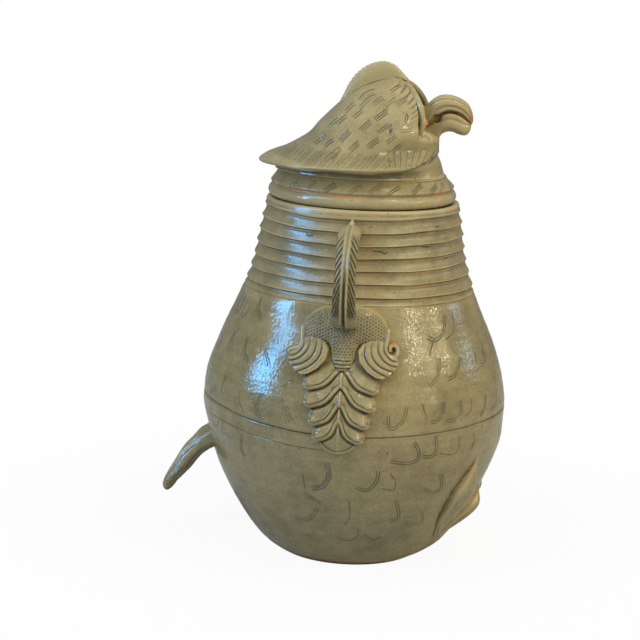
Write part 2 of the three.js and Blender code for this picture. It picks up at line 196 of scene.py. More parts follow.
# %% Curves through measured points
def curve_through(points):
    at, value = np.array(points, dtype=float).T
    order = np.arange(len(at))
    before = np.maximum(order - 1, 0)
    after = np.minimum(order + 1, len(at) - 1)
    slope = (value[after] - value[before]) / (at[after] - at[before])

    def read(place):
        place = np.asarray(place, dtype=float)
        i = np.clip(np.searchsorted(at, place, side="right") - 1, 0, len(at) - 2)
        span = at[i + 1] - at[i]
        t = np.clip((place - at[i]) / span, 0, 1)
        rest = 1 - t
        start = (1 + 2 * t) * rest**2 * value[i] + t * rest**2 * span * slope[i]
        end = t**2 * (3 - 2 * t) * value[i + 1] - t**2 * rest * span * slope[i + 1]
        return start + end

    return read


def columns_through(stations, count):
    """The columns of a table of stations, at evenly counted places from the first to the last"""
    order = np.arange(len(stations))
    places = np.linspace(0, len(stations) - 1, count)
    return [curve_through(list(zip(order, column)))(places) for column in zip(*stations)]


def route_through(points, count):
    """Evenly spaced places along a smooth route, the share of its length at each, and the length"""
    places = np.stack(columns_through(points, 1500), axis=-1)
    run = np.concatenate([[0], np.cumsum(np.linalg.norm(np.diff(places, axis=0), axis=1))])
    share = np.linspace(0, 1, count)
    even = np.stack([np.interp(share * run[-1], run, column) for column in places.T], axis=-1)
    return even, share, run[-1]


def smooth_line(points, count=16):
    return route_through(points, count)[0]


print("a smooth line over a corner:", smooth_line([(0, 0), (10, 10), (20, 0)], 5).round(1).tolist())

# %% [markdown]
# A piece is a grid of points: rings one above the other. Neighbouring rings are joined by
# four-sided faces. The last ring joins the first one where the piece is itself a ring, and a fan
# closes each end where it isn't. If the faces look inwards, the whole piece is turned inside out.

# %% Faces between rings
def grid_of(x, y, z):
    return np.stack(np.broadcast_arrays(x, y, z), axis=-1)


def ring_faces(rows, columns, loop):
    row = np.arange(rows if loop else rows - 1)[:, None] * columns
    above = (row + columns) % (rows * columns)
    column = np.arange(columns)[None, :]
    beside = (column + 1) % columns
    corners = [row + column, row + beside, above + beside, above + column]
    return np.stack([corner.ravel() for corner in corners], axis=-1)


def fans(rows, columns):
    column = np.arange(columns)
    beside = (column + 1) % columns
    low = np.stack([np.full(columns, rows * columns), beside, column], axis=-1)
    top = (rows - 1) * columns
    high = np.stack([np.full(columns, rows * columns + 1), top + column, top + beside], axis=-1)
    return np.concatenate([low, high])


def volume_of(places, triangles):
    a, b, c = (places[triangles[:, k]] for k in range(3))
    return np.einsum("ij,ij->i", a, np.cross(b, c)).sum() / 6


print("three rings of eight points:", len(ring_faces(3, 8, False)), "faces,", len(fans(3, 8)), "at the ends")

# %% [markdown]
# Blender takes a mesh as long plain lists, which is fast for pieces of many thousand points.

# %% A mesh from points and faces
no_triangles = np.empty((0, 3), int)


def build_mesh(name, places, quads, triangles=no_triangles):
    halves = np.concatenate([triangles, quads[:, [0, 1, 2]], quads[:, [0, 2, 3]]])
    if volume_of(places, halves) < 0:
        quads = quads[:, ::-1]
        triangles = triangles[:, ::-1]
    mesh = bpy.data.meshes.new(name)
    mesh.vertices.add(len(places))
    mesh.vertices.foreach_set("co", mm(places).astype(np.float32).ravel())
    corners = np.concatenate([quads.ravel(), triangles.ravel()]).astype(np.int32)
    mesh.loops.add(len(corners))
    mesh.loops.foreach_set("vertex_index", corners)
    four = np.arange(len(quads)) * 4
    three = len(quads) * 4 + np.arange(len(triangles)) * 3
    mesh.polygons.add(len(quads) + len(triangles))
    mesh.polygons.foreach_set("loop_start", np.concatenate([four, three]).astype(np.int32))
    mesh.update(calc_edges=True)
    mesh.shade_smooth()
    return mesh


# %% [markdown]
# Glaze behaves like thick cream: it runs off every edge, where it goes thin and pale, and pools
# in every hollow, where it goes dark. Comparing a surface with a blurred copy of itself tells
# where it stands proud and where it is hollow. That number is kept on the mesh for the shader,
# which also uses it for painted shade in the hollows and a painted highlight on the edges.

# %% Where the glaze runs thin and where it pools
def read_out(items, key, width, kind=np.float32):
    """One value of every point or edge of a mesh, as an array of rows"""
    values = np.empty(len(items) * width, kind)
    items.foreach_get(key, values)
    return values.reshape(-1, width)


def stands_proud(mesh, rounds):
    """Millimetres that each point stands above the blurred surface, below it where negative"""
    places = read_out(mesh.vertices, "co", 3).astype(float) * 1000
    count = len(places)
    first, second = read_out(mesh.edges, "vertices", 2, np.int32).T
    ends = np.concatenate([first, second])
    others = np.concatenate([second, first])
    degree = np.maximum(np.bincount(ends, minlength=count), 1)
    smooth = places.copy()
    for _ in range(rounds):
        for axis in range(3):
            total = np.bincount(ends, weights=smooth[others, axis], minlength=count)
            smooth[:, axis] = 0.4 * smooth[:, axis] + 0.6 * total / degree
    return ((places - smooth) * read_out(mesh.vertices, "normal", 3)).sum(axis=1)


# %% [markdown]
# Each point of a piece carries numbers that the glaze reads. "proud" is the one above, the next
# tells where the nearest line runs, both drawn lines and lines of painted shade, and "rust" how far
# the glaze is worn off.

# %% Numbers on a mesh
def keep_number(mesh, name, values):
    if values.ndim == 1:
        layer = mesh.attributes.new(name, "FLOAT", "POINT")
        layer.data.foreach_set("value", values.astype(np.float32))
    else:
        layer = mesh.attributes.new(name, "FLOAT_VECTOR", "POINT")
        layer.data.foreach_set("vector", values.astype(np.float32).ravel())


def clear_of_lines(shape):
    """The "incised" numbers of clay without strokes: 9 mm from any line, no depth, no spacing"""
    return np.concatenate([np.full((*shape, 1), 9.0), np.zeros((*shape, 2))], axis=-1)


def with_lining(numbers, shape, lining_first=False):
    """A hollow piece's inside, or a pad's underside, has no strokes and no worn glaze"""
    joined = {}
    for key, values in numbers.items():
        plain = clear_of_lines(shape) if key == "lines_and_shade" else np.zeros(shape)
        joined[key] = np.concatenate([plain, values] if lining_first else [values, plain])
    return joined


print("clay without strokes:", clear_of_lines(()))

# %% [markdown]
# Every piece stands for a solid of the packed model and rides on the jar or on the lid. Most
# pieces are stacks of rings, so one function joins the rings and hands every number on to the
# points, also to the two in the middle of the end fans.

# %% Pieces
def make_piece(name, mesh, finish, body, node, numbers, rounds=24):
    """rounds is how often the surface is blurred before it is compared with itself"""
    numbers = dict(numbers)
    keep_number(mesh, "proud", stands_proud(mesh, rounds) * numbers.pop("share", 1))
    for key, values in numbers.items():
        keep_number(mesh, key, values)
    mesh.materials.append(finish)
    piece = bpy.data.objects.new(name, mesh)
    bpy.context.scene.collection.objects.link(piece)
    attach(piece, body)
    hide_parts(node)
    print(name, len(mesh.vertices), "points", len(mesh.polygons), "faces")
    return piece


def ring_piece(name, rings, finish, body, node, numbers=None, loop=False, rounds=24):
    rows, columns = rings.shape[:2]
    places = rings.reshape(-1, 3)
    triangles = no_triangles
    if not loop:
        ends = [rings[0].mean(axis=0), rings[-1].mean(axis=0)]
        places = np.concatenate([places, ends])
        triangles = fans(rows, columns)
    mesh = build_mesh(name, places, ring_faces(rows, columns, loop), triangles)
    spread = {}
    for key, values in (numbers or {}).items():
        flat = values.reshape(rows * columns, *values.shape[2:])
        if not loop:
            flat = np.concatenate([flat, flat[:1], flat[-1:]])
        spread[key] = flat
    return make_piece(name, mesh, finish, body, node, spread, rounds)


# %% [markdown]
# Every finish starts the same way: a material, its shader, and the object's own coordinates. It
# ends the same way too, with a colour, a roughness and a skin that stands up and down a little.

# %% Tools for finishes
def new_material(name):
    made = bpy.data.materials.new(name)
    made.use_nodes = True
    tree = made.node_tree
    shader = tree.nodes["Principled BSDF"]
    start = Wire(tree, tree.nodes.new("ShaderNodeTexCoord").outputs["Object"])
    return made, shader, start


def dress(shader, colour, rough, skin, depth):
    """The skin is a height between 0 and 1, and depth is what 1 stands for, in millimetres"""
    values = {"Height": skin, "Strength": 1.0, "Distance": mm(depth)}
    bump = skin.node("ShaderNodeBump", {}, values)
    for wire, name in ((colour, "Base Color"), (rough, "Roughness"), (bump, "Normal")):
        skin.tree.links.new(wire.socket, shader.inputs[name])


# %% [markdown]
# Lines drawn with a pointed tool come as one, two or three side by side. Each point knows its
# distance to the middle of the stroke, how deep it is, and half the space between its lines.

# %% Drawn lines
def number(place, name, output=2):
    return place.node("ShaderNodeAttribute", {"attribute_name": name}, {}, output)


def drawn_line(place, half_width):
    """1 along drawn lines and lines of painted shade, and 0 beside them. A wide spacing means a
    triple line, with one more in the middle"""
    drawn = number(place, "lines_and_shade", output=1)
    parts = [place.node("ShaderNodeSeparateXYZ", {}, {"Vector": drawn}, k) for k in range(3)]
    distance, depth, spacing = parts
    pair = abs(abs(distance) - spacing)
    middle = abs(distance) + (1.4 - spacing).between(0, 0.1) * 9
    away = place.maths("MINIMUM", pair, middle)
    return (1 - away.between(0.3 * half_width, half_width)) * depth


# %% [markdown]
# The celadon glaze is a grey-green glass over an orange stoneware. It varies in thickness, so its
# colour drifts over the pot. It is pale on proud places, where it runs thin, and dark in hollows,
# where it pools; the same numbers add a painted highlight on edges and painted shade in hollows.
# It is dark in the drawn lines and in the lines of painted shade, and the bare orange clay breaks
# through where it ran off. Fine iron specks and a slightly uneven skin finish it: the skin breaks
# up the reflection of the window.

# %% Celadon glaze
thick_glaze = (0.113, 0.103, 0.057, 1)
thin_glaze = (0.296, 0.248, 0.138, 1)
pooled_glaze_and_shade = (0.050, 0.047, 0.028, 1)
thin_edge_and_highlight = (0.420, 0.352, 0.215, 1)
line_and_shade_glaze = (0.028, 0.025, 0.014, 1)
stained_glaze = (0.34, 0.185, 0.075, 1)
burnt_clay = (0.42, 0.135, 0.045, 1)
iron_speck = (0.022, 0.018, 0.012, 1)


def celadon(name, pale=0.0, dull=0.0):
    made, shader, place = new_material(name)
    cloud = place.noise(15.0, 4.0)
    patch = place.noise(70.0, 5.0, 0.6)
    grain = place.noise(480.0, 4.0, 0.65)
    proud = number(place, "proud")
    rust = number(place, "rust")
    line = drawn_line(place, 0.60) * place.noise(240.0, 2.0).between(0.22, 0.45)
    speck = place.noise(310.0, 2.0).between(0.72, 0.76)
    bare = (rust + place.noise(170.0, 6.0, 0.7) - 1.0).between(0.0, 0.16)

    drift = cloud.between(0.34, 0.66) * 0.36 + patch.between(0.34, 0.66) * 0.36
    # pale lightens the whole glaze; on the lid, beak and crest it is painted light
    colour = mix(drift + grain.between(0.3, 0.7) * 0.28 + pale, thick_glaze, thin_glaze)
    # Hollows go dark: partly glaze pooling there, partly painted shade
    colour = mix((0 - proud).between(0.05, 0.9) * 0.80, colour, pooled_glaze_and_shade)
    # Proud edges go pale: partly glaze running thin, partly a painted highlight
    colour = mix((proud + grain * 0.3 - 0.15).between(0.02, 0.6) * 0.60, colour, thin_edge_and_highlight)
    # Drawn lines go dark, and so do the lines of painted shade that use the same numbers
    colour = mix(line * 0.85, colour, line_and_shade_glaze)
    colour = mix(rust.between(0.18, 0.7) * 0.5, colour, stained_glaze)
    colour = mix(bare, colour, burnt_clay)
    colour = mix(speck * 0.75, colour, iron_speck)
    rough = patch.between(0.3, 0.7) * 0.06 + bare * 0.48 + (0.06 + dull)
    peel = place.noise(460.0, 2.0) * 0.25
    skin = grain * 0.10 + patch * 0.36 + peel + cloud * 0.5 - line * 0.5 - speck * 0.1
    dress(shader, colour, rough, skin, 1)
    return made


glaze = celadon("celadon_glaze")
# The lid, beak and crest glazes are paler copies: painted light, standing in for the light from above
lid_painted_light_glaze = celadon("lid_painted_light_glaze", 0.15)
beak_painted_light_glaze = celadon("beak_painted_light_glaze", 0.8)
crest_painted_light_glaze = celadon("crest_painted_light_glaze", 0.8, 0.2)
dull_glaze = celadon("dull_glaze", 0.0, 0.16)
print("glazes:", [made.name for made in (glaze, lid_painted_light_glaze, beak_painted_light_glaze, crest_painted_light_glaze, dull_glaze)])

# %% [markdown]
# The eyes were left without glaze. Bare stoneware burns orange in the kiln, and it is rough and
# grainy all over.

# %% Bare clay
def bare_clay(name):
    made, shader, place = new_material(name)
    grain = place.noise(300.0, 6.0)
    colour = mix(grain.between(0.3, 0.7), (0.36, 0.12, 0.045, 1), (0.58, 0.23, 0.10, 1))
    dress(shader, colour, grain * 0.2 + 0.62, grain, 0.3)
    return made


clay = bare_clay("bare_clay")
print("clay:", clay.name)

# %% [markdown]
# The pot is thrown in two halves and luted at the belly. Angles run round it from the owl's right
# flank towards its back, and both flanks are alike. The joint isn't quite level: it rises a
# little towards the back and the front.

# %% The body's outline
body_radius = curve_through([
    [0, 56.7], [3, 62], [8, 69.1], [16, 76.6], [30, 86.2], [50, 98.3], [70, 107.5], [88, 113.7],
    [104, 118], [118, 120.3], [132, 119.9], [150, 116.8], [175, 108], [200, 96.4], [214, 90.6],
])
seam_height = curve_through([
    [-90, 125.2], [-60, 124], [-36, 122.2], [-15, 120.6], [14, 121], [37, 123.6], [54, 126.2], [90, 127],
])
wall = 7.5
luting_gap = 0.3
columns = 640
turn = full_turn(columns)
flank_angle = np.degrees(np.arctan2(np.sin(turn), np.abs(np.cos(turn))))
seam = seam_height(flank_angle)
print(f"belly {2 * body_radius(118):.1f} mm across, joint {seam.min():.1f} to {seam.max():.1f} mm high")


# %% [markdown]
# A thrown piece is a stack of rings round the pot's axis. Fingers leave faint rings and a slow
# wander in it, so a small unevenness moves every point along its own normal.

# %% Thrown clay
def round_pot(rows):
    """Rings of points from rows of radius and height"""
    rings = []
    for radius, height in rows:
        radius, height = np.broadcast_arrays(radius + 0 * turn, height)
        rings.append(np.stack([-radius * np.cos(turn), radius * np.sin(turn), height], axis=-1))
    return np.stack(rings)


def uneven(height, seed):
    draws = np.random.default_rng(seed)
    total = np.zeros(np.broadcast(height, turn).shape)
    for waves, tall, size in [(2, 90, 0.30), (3, 60, 0.22), (5, 45, 0.15), (1, 9.5, 0.035), (0, 5.2, 0.02)]:
        shift, lean = draws.uniform(0, 2 * math.pi, 2)
        total += size * np.sin(waves * turn + shift + height * 2 * math.pi / tall + lean)
    return total


def outward_of(rings):
    along = np.gradient(rings, axis=0)
    around = (np.roll(rings, -1, axis=1) - np.roll(rings, 1, axis=1)) / 2
    across = np.cross(around, along)
    across /= np.maximum(np.linalg.norm(across, axis=-1, keepdims=True), 1e-9)
    radial = rings[..., 0] * across[..., 0] + rings[..., 1] * across[..., 1]
    return across * np.where(radial.mean(axis=1) < 0, -1, 1)[:, None, None]


def places_round(rings):
    """Millimetres round the pot from the owl's right flank, and the mean radius of each ring"""
    mean_radius = np.hypot(rings[..., 0], rings[..., 1]).mean(axis=1, keepdims=True)
    return np.arctan2(rings[..., 1], -rings[..., 0]) * mean_radius, mean_radius


print("points round a ring:", columns, "unevenness up to", round(uneven(100.0, 3).max(), 2), "mm")

# %% [markdown]
# Feathers are drawn in the leather-hard clay with a pointed tool: rows of U-shaped strokes, single
# or double. For each point of the surface the script finds its distance to the nearest stroke.
# First come the sums for one line.

# %% The nearest place on a line
def nearest_on(across, up, line):
    """From a place to a line of straight stretches: its distance, the signed distance to the
    nearest stretch, the share of the whole length there, and how far it lies past the ends"""
    line = np.array(line, dtype=float)
    reach = np.diff(line, axis=0)
    length = np.hypot(reach[:, 0], reach[:, 1])
    before = np.concatenate([[0], np.cumsum(length)])[:-1]
    right = across[..., None] - line[:-1, 0]
    above = up[..., None] - line[:-1, 1]
    share = (right * reach[:, 0] + above * reach[:, 1]) / length**2
    held = np.clip(share, 0, 1)
    gap = np.hypot(right - held * reach[:, 0], above - held * reach[:, 1])
    past = np.zeros(share.shape)
    past[..., 0] = -share[..., 0] * length[0]
    past[..., -1] = np.maximum(past[..., -1], (share[..., -1] - 1) * length[-1])
    best = gap.argmin(axis=-1)[..., None]
    side = (right * reach[:, 1] - above * reach[:, 0]) / length
    values = (gap, side, (before + held * length) / length.sum(), np.maximum(past, 0))
    return [np.take_along_axis(value, best, -1)[..., 0] for value in values]


def rounded(line):
    """The corners are cut off, three times over, so that a line bends evenly"""
    line = np.array(line, dtype=float)
    for _ in range(3):
        cuts = [0.75 * line[:-1] + 0.25 * line[1:], 0.25 * line[:-1] + 0.75 * line[1:]]
        inner = np.stack(cuts, axis=1).reshape(-1, 2)[1:-1]
        line = np.concatenate([line[:1], inner, line[-1:]])
    return line


trial = nearest_on(np.array([5.0]), np.array([2.0]), [(0, 0), (10, 0)])
print("a place beside the middle of a line, gap, side, share and past:", [value[0] for value in trial])

# %% [markdown]
# A drawing keeps, for each point of one surface, which stroke is nearest. Near a stroke's line
# the shader turns that distance into a crisp dark groove. Only the strokes' own points are
# worked on, which keeps over a hundred strokes on tens of thousands of points quick.

# %% Drawing strokes
single, double, triple = 0.0, 0.95, 1.6


class Drawing:
    """The strokes drawn on one surface, whose points have places across and up it"""

    def __init__(self, across, up, around=None):
        self.across = across
        self.up = up
        self.around = around
        self.distance = np.full(across.shape, 9.0)
        self.depth = np.zeros(across.shape)
        self.spacing = np.zeros(across.shape)

    def stroke(self, centre, line, spacing=single, depth=1.0):
        """line is given from centre; where the surface goes round, it is found the short way"""
        line = rounded(line) if 2 < len(line) < 12 else np.array(line, dtype=float)
        margin = 4.5 + spacing
        across = self.across - centre[0]
        if self.around is not None:
            turns = (across / self.around + 0.5) % 1.0 - 0.5
            across = turns * self.around
        up = self.up - centre[1]
        low, high = line.min(axis=0) - margin, line.max(axis=0) + margin
        near = (across > low[0]) & (across < high[0]) & (up > low[1]) & (up < high[1])
        gap, side, _, past = nearest_on(across[near], up[near], line)
        signed = np.where(past > 0, side, np.sign(side) * gap)
        away = np.abs(np.abs(signed) - spacing)
        fade = (1 - step(away, 1.8, 2.8)) * (1 - step(past, 0, 1.6)) * depth
        better = (away < np.abs(np.abs(self.distance[near]) - self.spacing[near])) & (fade > 0)
        places = tuple(index[better] for index in np.nonzero(near))
        self.distance[places] = signed[better]
        self.depth[places] = fade[better]
        self.spacing[places] = spacing

    def overlay(self, where, distance, depth):
        """A single line that takes the place of what was drawn there"""
        self.distance = np.where(where, distance, self.distance)
        self.spacing = np.where(where, single, self.spacing)
        self.depth = np.where(where, depth, self.depth)

    def numbers(self):
        return np.stack([self.distance, self.depth, self.spacing], axis=-1)


trial = Drawing(np.zeros(4), np.arange(4.0))
trial.stroke((0, 1), [(-5, 0), (5, 0)])
print("a trial stroke, as seen from four places:", trial.distance)

# %% [markdown]
# On the flanks every stroke has its own place, as on the pot: degrees from the middle of the wing,
# towards the back, and height. Some are single, most are double, a few are triple.

# %% Strokes on the flanks
flank_strokes = [
    (double, [(-46.9, 204.1), (-47.5, 195.4), (-42.6, 188.4), (-38.2, 191.1)]),
    (single, [(-52.9, 206.7), (-54.8, 194), (-48.5, 188.8)]),
    (single, [(-38.7, 188.9), (-37, 179.3)]),
    (double, [(-39, 175.5), (-39.3, 164.1), (-35.3, 157.6)]),
    (double, [(-50.5, 173.4), (-47.7, 162.4), (-44.1, 161.1)]),
    (single, [(-61.5, 176.4), (-63.1, 168.6)]),
    (double, [(-67.7, 176.1), (-71.7, 165.8), (-64.8, 165.8)]),
    (double, [(-17.5, 136.7), (-18, 127.6), (-20.2, 127.2), (-23.5, 133.4), (-24.2, 142.9)]),
    (single, [(-30.5, 144.5), (-32.5, 134.6)]),
    (double, [(-39.5, 144.5), (-39.7, 137.8), (-37.5, 131.4), (-34.6, 130.5)]),
    (double, [(-47.2, 143.5), (-49.2, 136.2), (-44.9, 129.7), (-41.6, 130.9)]),
    (single, [(-53.3, 144.7), (-54.5, 135.3), (-51, 132.5)]),
    (double, [(-63.2, 143), (-63.2, 133.7), (-59.6, 129.6)]),
    (double, [(-73.8, 143.4), (-73.6, 133.3), (-69.3, 130.4)]),
    (double, [(-28.4, 116), (-30.9, 107.5), (-29.2, 99.9), (-23.2, 99.9), (-19.7, 101.8)]),
    (double, [(-36.7, 121.2), (-37.7, 107), (-35.1, 103.4), (-32.1, 104.3)]),
    (single, [(-39.1, 105.8), (-43.9, 102.6), (-47.6, 104.9), (-48, 116.3)]),
    (double, [(-55.6, 116.1), (-56.8, 109.9), (-54.2, 104.3)]),
    (double, [(-15.9, 93.1), (-15.6, 86.2), (-12.9, 77.9), (-9.8, 76.9), (-7.8, 79.4)]),
    (single, [(-20.7, 91.2), (-23.2, 84.1), (-22.3, 75.9), (-17.8, 78.7)]),
    (double, [(-35.9, 75.9), (-40.1, 71.2), (-44.9, 74.5), (-43.2, 86.1)]),
    (single, [(-5.3, 66.5), (-5.9, 52.9), (-3.5, 45.2)]),
    (double, [(-25.3, 67.1), (-27.1, 59.5), (-27.1, 50.5), (-23, 48.7)]),
    (double, [(-31.4, 46), (-35.8, 42.2), (-42, 43.4), (-40, 56.7)]),
    (single, [(-10.2, 41.3), (-10.6, 34.3), (-6.4, 27.9), (-1.2, 30.4)]),
    (single, [(-14, 35.4), (-18.4, 28.1), (-20.9, 33)]),
    (triple, [(4, 97.9), (2.7, 88.9), (5.1, 78.1), (9.2, 76.2)]),
    (single, [(13.8, 86.1), (12.7, 75.3)]),
    (double, [(13.7, 70.6), (6.7, 63.5)]),
    (double, [(8.9, 57.5), (12.8, 45.2), (19.5, 44)]),
    (double, [(40.7, 107.6), (41.9, 97.2), (39.6, 91.7)]),
    (single, [(53.4, 111.8), (54, 103.3), (49.4, 98.3)]),
    (double, [(47.2, 210.3), (49, 203.2), (45.2, 195.7)]),
    (double, [(45.7, 181.3), (47.2, 172.2), (42.9, 164.5)]),
    (single, [(57.4, 183.8), (59.8, 177.7), (61.6, 171.7)]),
    (double, [(52.2, 149.8), (54.9, 141.2), (53, 135.3)]),
    (double, [(18.8, 157.5), (22.2, 151.8)]),
    (single, [(41.9, 141.8), (42.2, 135.1), (38.5, 126.3)]),
    (double, [(34.2, 175.9), (31.4, 167.3)]),
    (double, [(30.8, 143.3), (32.8, 136), (31.9, 127.6), (29.3, 126.9)]),
    (triple, [(19.9, 137.8), (17.6, 128.6)]),
]
print("strokes on each flank:", len(flank_strokes))

# %% [markdown]
# Round the front and the back the same rows go on. There each stroke is a hooked U with one tall
# arm, and a seeded random draw keeps the rows as uneven as a hand does.

# %% Strokes round the rest of the body
feather_rows = [
    # height, a stroke's width and height, degrees between strokes
    (193, 12, 15, 11), (163, 12, 14, 12), (131, 13, 14, 9), (103, 15, 14, 11), (76, 14, 13, 12),
    (47, 15, 14, 13), (30, 14, 9, 15),
]
flank_front, flank_back = -78, 57


def hooked(width, tall, arm, other):
    """A U-shaped stroke from a tall arm round to a short one; arm says on which side it is tall"""
    bend = 0.45 * tall
    angles = np.linspace(0, math.pi, 9)
    curve = [(width / 2 * math.cos(a), bend * (1 - math.sin(a))) for a in angles]
    first = (width / 2 * 0.86, tall)
    last = (-width / 2 * 0.94, bend + other * tall)
    return [(arm * x, y) for x, y in [first, *curve, last]]


def row_strokes(drawing, radius, draws):
    for height, width, tall, pitch in feather_rows:
        count = round(360 / pitch)
        for i in range(count):
            angle = (i * 360 / count + draws.normal(0, 1.2)) % 360 - 180
            z = height + draws.normal(0, 2)
            shape = (width * draws.uniform(0.7, 1.1), tall * draws.uniform(0.7, 1.15))
            other = draws.uniform(-0.2, 0.4)
            spacing = draws.choice([single, double, double])
            depth = draws.uniform(0.5, 0.9) * (draws.random() > 0.2)
            right_half = abs(angle) < 90
            flank = angle if right_half else math.copysign(180, angle) - angle
            if flank_front < flank < flank_back:
                continue
            arm = (1 if flank > 0 else -1) * (1 if right_half else -1)
            drawing.stroke((math.radians(angle) * radius, z), hooked(*shape, arm, other), spacing, depth)


def feather_strokes(drawing, radius):
    """radius is the body's radius at each row of the drawing"""
    draws = np.random.default_rng(21)
    for spacing, line in flank_strokes:
        middle = np.mean([z for _, z in line])
        mean = body_radius(middle)
        shape = np.array([(math.radians(a) * mean, z - middle) for a, z in line])
        depth = draws.uniform(0.65, 1.0)
        for flank, mirror in ((0 * radius, 1), (math.pi * radius, -1)):
            drawing.stroke((flank, middle), shape * np.array([mirror, 1]), spacing, depth)
    row_strokes(drawing, radius, draws)


print("rows of strokes round the rest:", len(feather_rows))

# %% [markdown]
# Each wing is a pad of clay pressed on the flank and modelled by hand: a stippled shoulder, two
# curls of ribbed feathers, and a leaf of overlapping lobes that ends in one round feather. It is
# worked out as a height above the flank, built up pad by pad. A pad laid over another one presses
# a shadow line into it along its edge.

# %% Pads laid one over the other
pad_floor = -1.3
edge_softness = 0.45


class Relief:
    """A height above the flank, with the lines drawn on it"""

    def __init__(self, across, up):
        self.across = across
        self.up = up
        self.height = np.full(across.shape, pad_floor)
        self.outside = np.full(across.shape, 99.0)
        self.distance = np.full(across.shape, 9.0)
        self.depth = np.zeros(across.shape)

    def overlay(self, where, distance, depth):
        self.distance = np.where(where, distance, self.distance)
        self.depth = np.where(where, depth, self.depth)

    def lay(self, share, inside, height, distance=9.0, depth=0.0):
        self.height = self.height + share * (height - self.height)
        self.outside = np.minimum(self.outside, -inside)
        self.overlay(share > 0.5, distance, depth)

    def paint(self, inside, height, press=0.0, distance=9.0, depth=0.0):
        """inside is how deep a place lies in the pad, in millimetres, negative beside it"""
        under = press * bell(np.maximum(-inside, 0), 1.0)
        self.height = np.where((inside < 0) & (self.height > 0), self.height - under, self.height)
        self.lay(np.clip(inside / edge_softness + 0.5, 0, 1), inside, height, distance, depth)

    def raise_to(self, inside, height):
        share = np.clip(inside / edge_softness + 0.5, 0, 1) * (height > self.height)
        self.lay(share, inside, height)


def inside_of(across, up, outline):
    """How deep a place lies inside a closed outline, in millimetres; negative outside it"""
    outline = np.array(outline, dtype=float)
    gap = nearest_on(across, up, np.concatenate([outline, outline[:1]]))[0]
    hits = np.zeros(across.shape, dtype=int)
    for (x0, y0), (x1, y1) in zip(outline, np.roll(outline, -1, axis=0)):
        crosses = (y0 > up) != (y1 > up)
        rise = y1 - y0 if y1 != y0 else 1e-9
        hits += crosses & (across < (x1 - x0) * (up - y0) / rise + x0)
    return np.where(hits % 2 == 1, gap, -gap)


def ellipse_inside(across, up, middle, wide, tall):
    share = np.hypot(across / wide, (up - middle) / tall)
    return (1 - share) * min(wide, tall)


trial = Relief(np.arange(-3.0, 4.0), np.zeros(7))
trial.paint(1.5 - np.abs(trial.across), 2.0)
print("heights across a trial pad, 3 mm wide:", trial.height)

# %% [markdown]
# The lobes are tongues of clay that bend down and outwards from the midrib to a round end. Each
# has a rolled lower rim with a drawn line above it. The wing's places are millimetres from its
# midrib, and height. One side is listed and mirrored.

# %% The wing's lobes
first_lobe = 160
lobe_half_width = 3.2
lobe_rim = 3.4
# For each lobe: how far out its round end has its middle, and how far it lies below the first one
lobes = [(22.5, 0), (21.2, 12.8), (17.4, 25.7), (14.0, 37.3)]


def paint_lobe(relief, away, up, end, drop):
    low = first_lobe - drop
    bends = [(0.6, low + 13.4), (0.31 * end, low + 8.4), (0.67 * end, low + 2.6), (end, low)]
    line = smooth_line(bends)
    gap, side, run, _ = nearest_on(away, up, line)
    above = -np.sign(side) * gap
    inside = lobe_half_width * (1 + step(run, 0.05, 0.75)) - gap
    upper, _, upper_run, _ = nearest_on(away, up, line + np.array([-1.6, 4.6]))
    inside = np.maximum(inside, lobe_half_width * (1 + step(upper_run, 0.05, 0.75)) - upper)
    at_end = np.hypot(away - end, up - low)

    roll = dome(1 - np.clip(inside / 5.2, 0, 1))
    hollow = 0.45 * np.clip(above + 1.0, 0, 9) * step(run, 0, 0.35)
    swell = 1.8 + (1.8 + 3.0 * step(run, 0.0, 0.7)) * roll - hollow + 2.1 * bell(at_end, 4.4)
    beyond = 1 - step(up - low, -2.0, 2.5)
    lower = np.where(run < 0.999, step(-above, -2.5, 0.5), beyond) * (1 - 0.85 * bell(at_end, 4.6))
    bead = 0.9 * dome(np.clip(np.abs(2 * inside / lobe_rim - 1), 0, 1))
    rim = (bead - 0.7 * bell(inside - lobe_rim, 0.55)) * lower
    drawn = 0.60 * lower * step(run, 0.05, 0.2)
    relief.paint(np.minimum(inside, away + 3), swell + rim, 2.1, inside - lobe_rim, drawn)


print("lobes on each side of the midrib:", len(lobes))

# %% [markdown]
# A curl is a lock of feathers: ribs side by side on one swelling shell, bent outwards and down.
# The two curls of a wing differ in how they end, a hook towards the back and a small spiral
# towards the front.

# %% The wing's curls
curl_outline = [
    (17, 190.6), (13.2, 188.4), (10.4, 184), (11.9, 176.5), (17.4, 169.8), (24, 165.6), (29, 164.6),
    (33.6, 167), (37.4, 170.6), (39.6, 174.6), (39.6, 178.6), (37, 181.2), (33, 182.6), (30.4, 186),
    (29.8, 190.4), (24, 191.8),
]
curl_lines = [
    [(16, 196), (14.8, 184.2), (17, 177.4), (22.8, 171.4), (31.8, 166.6)],
    [(20, 196), (19.2, 185), (21.7, 178.6), (27.4, 173.4), (36.2, 170)],
    [(24.5, 196), (23.9, 186.2), (26.4, 180.6), (31.7, 175.8), (39.4, 173.4)],
    [(28.4, 196), (28.2, 186.2), (30.4, 181.6), (34.4, 178.2), (40, 177.4)],
]
back_hook = [(30.8, 197), (30.3, 188.4), (31.8, 184.2), (35.2, 182.4), (38.4, 181.6), (40, 179.8)]
front_spiral = [
    (31, 198), (30.2, 191), (29.8, 185.4), (31.4, 181), (35, 179.6), (38.2, 181.8), (38.4, 185.8),
    (35.8, 188.4), (33.2, 187.2), (33, 184.8),
]


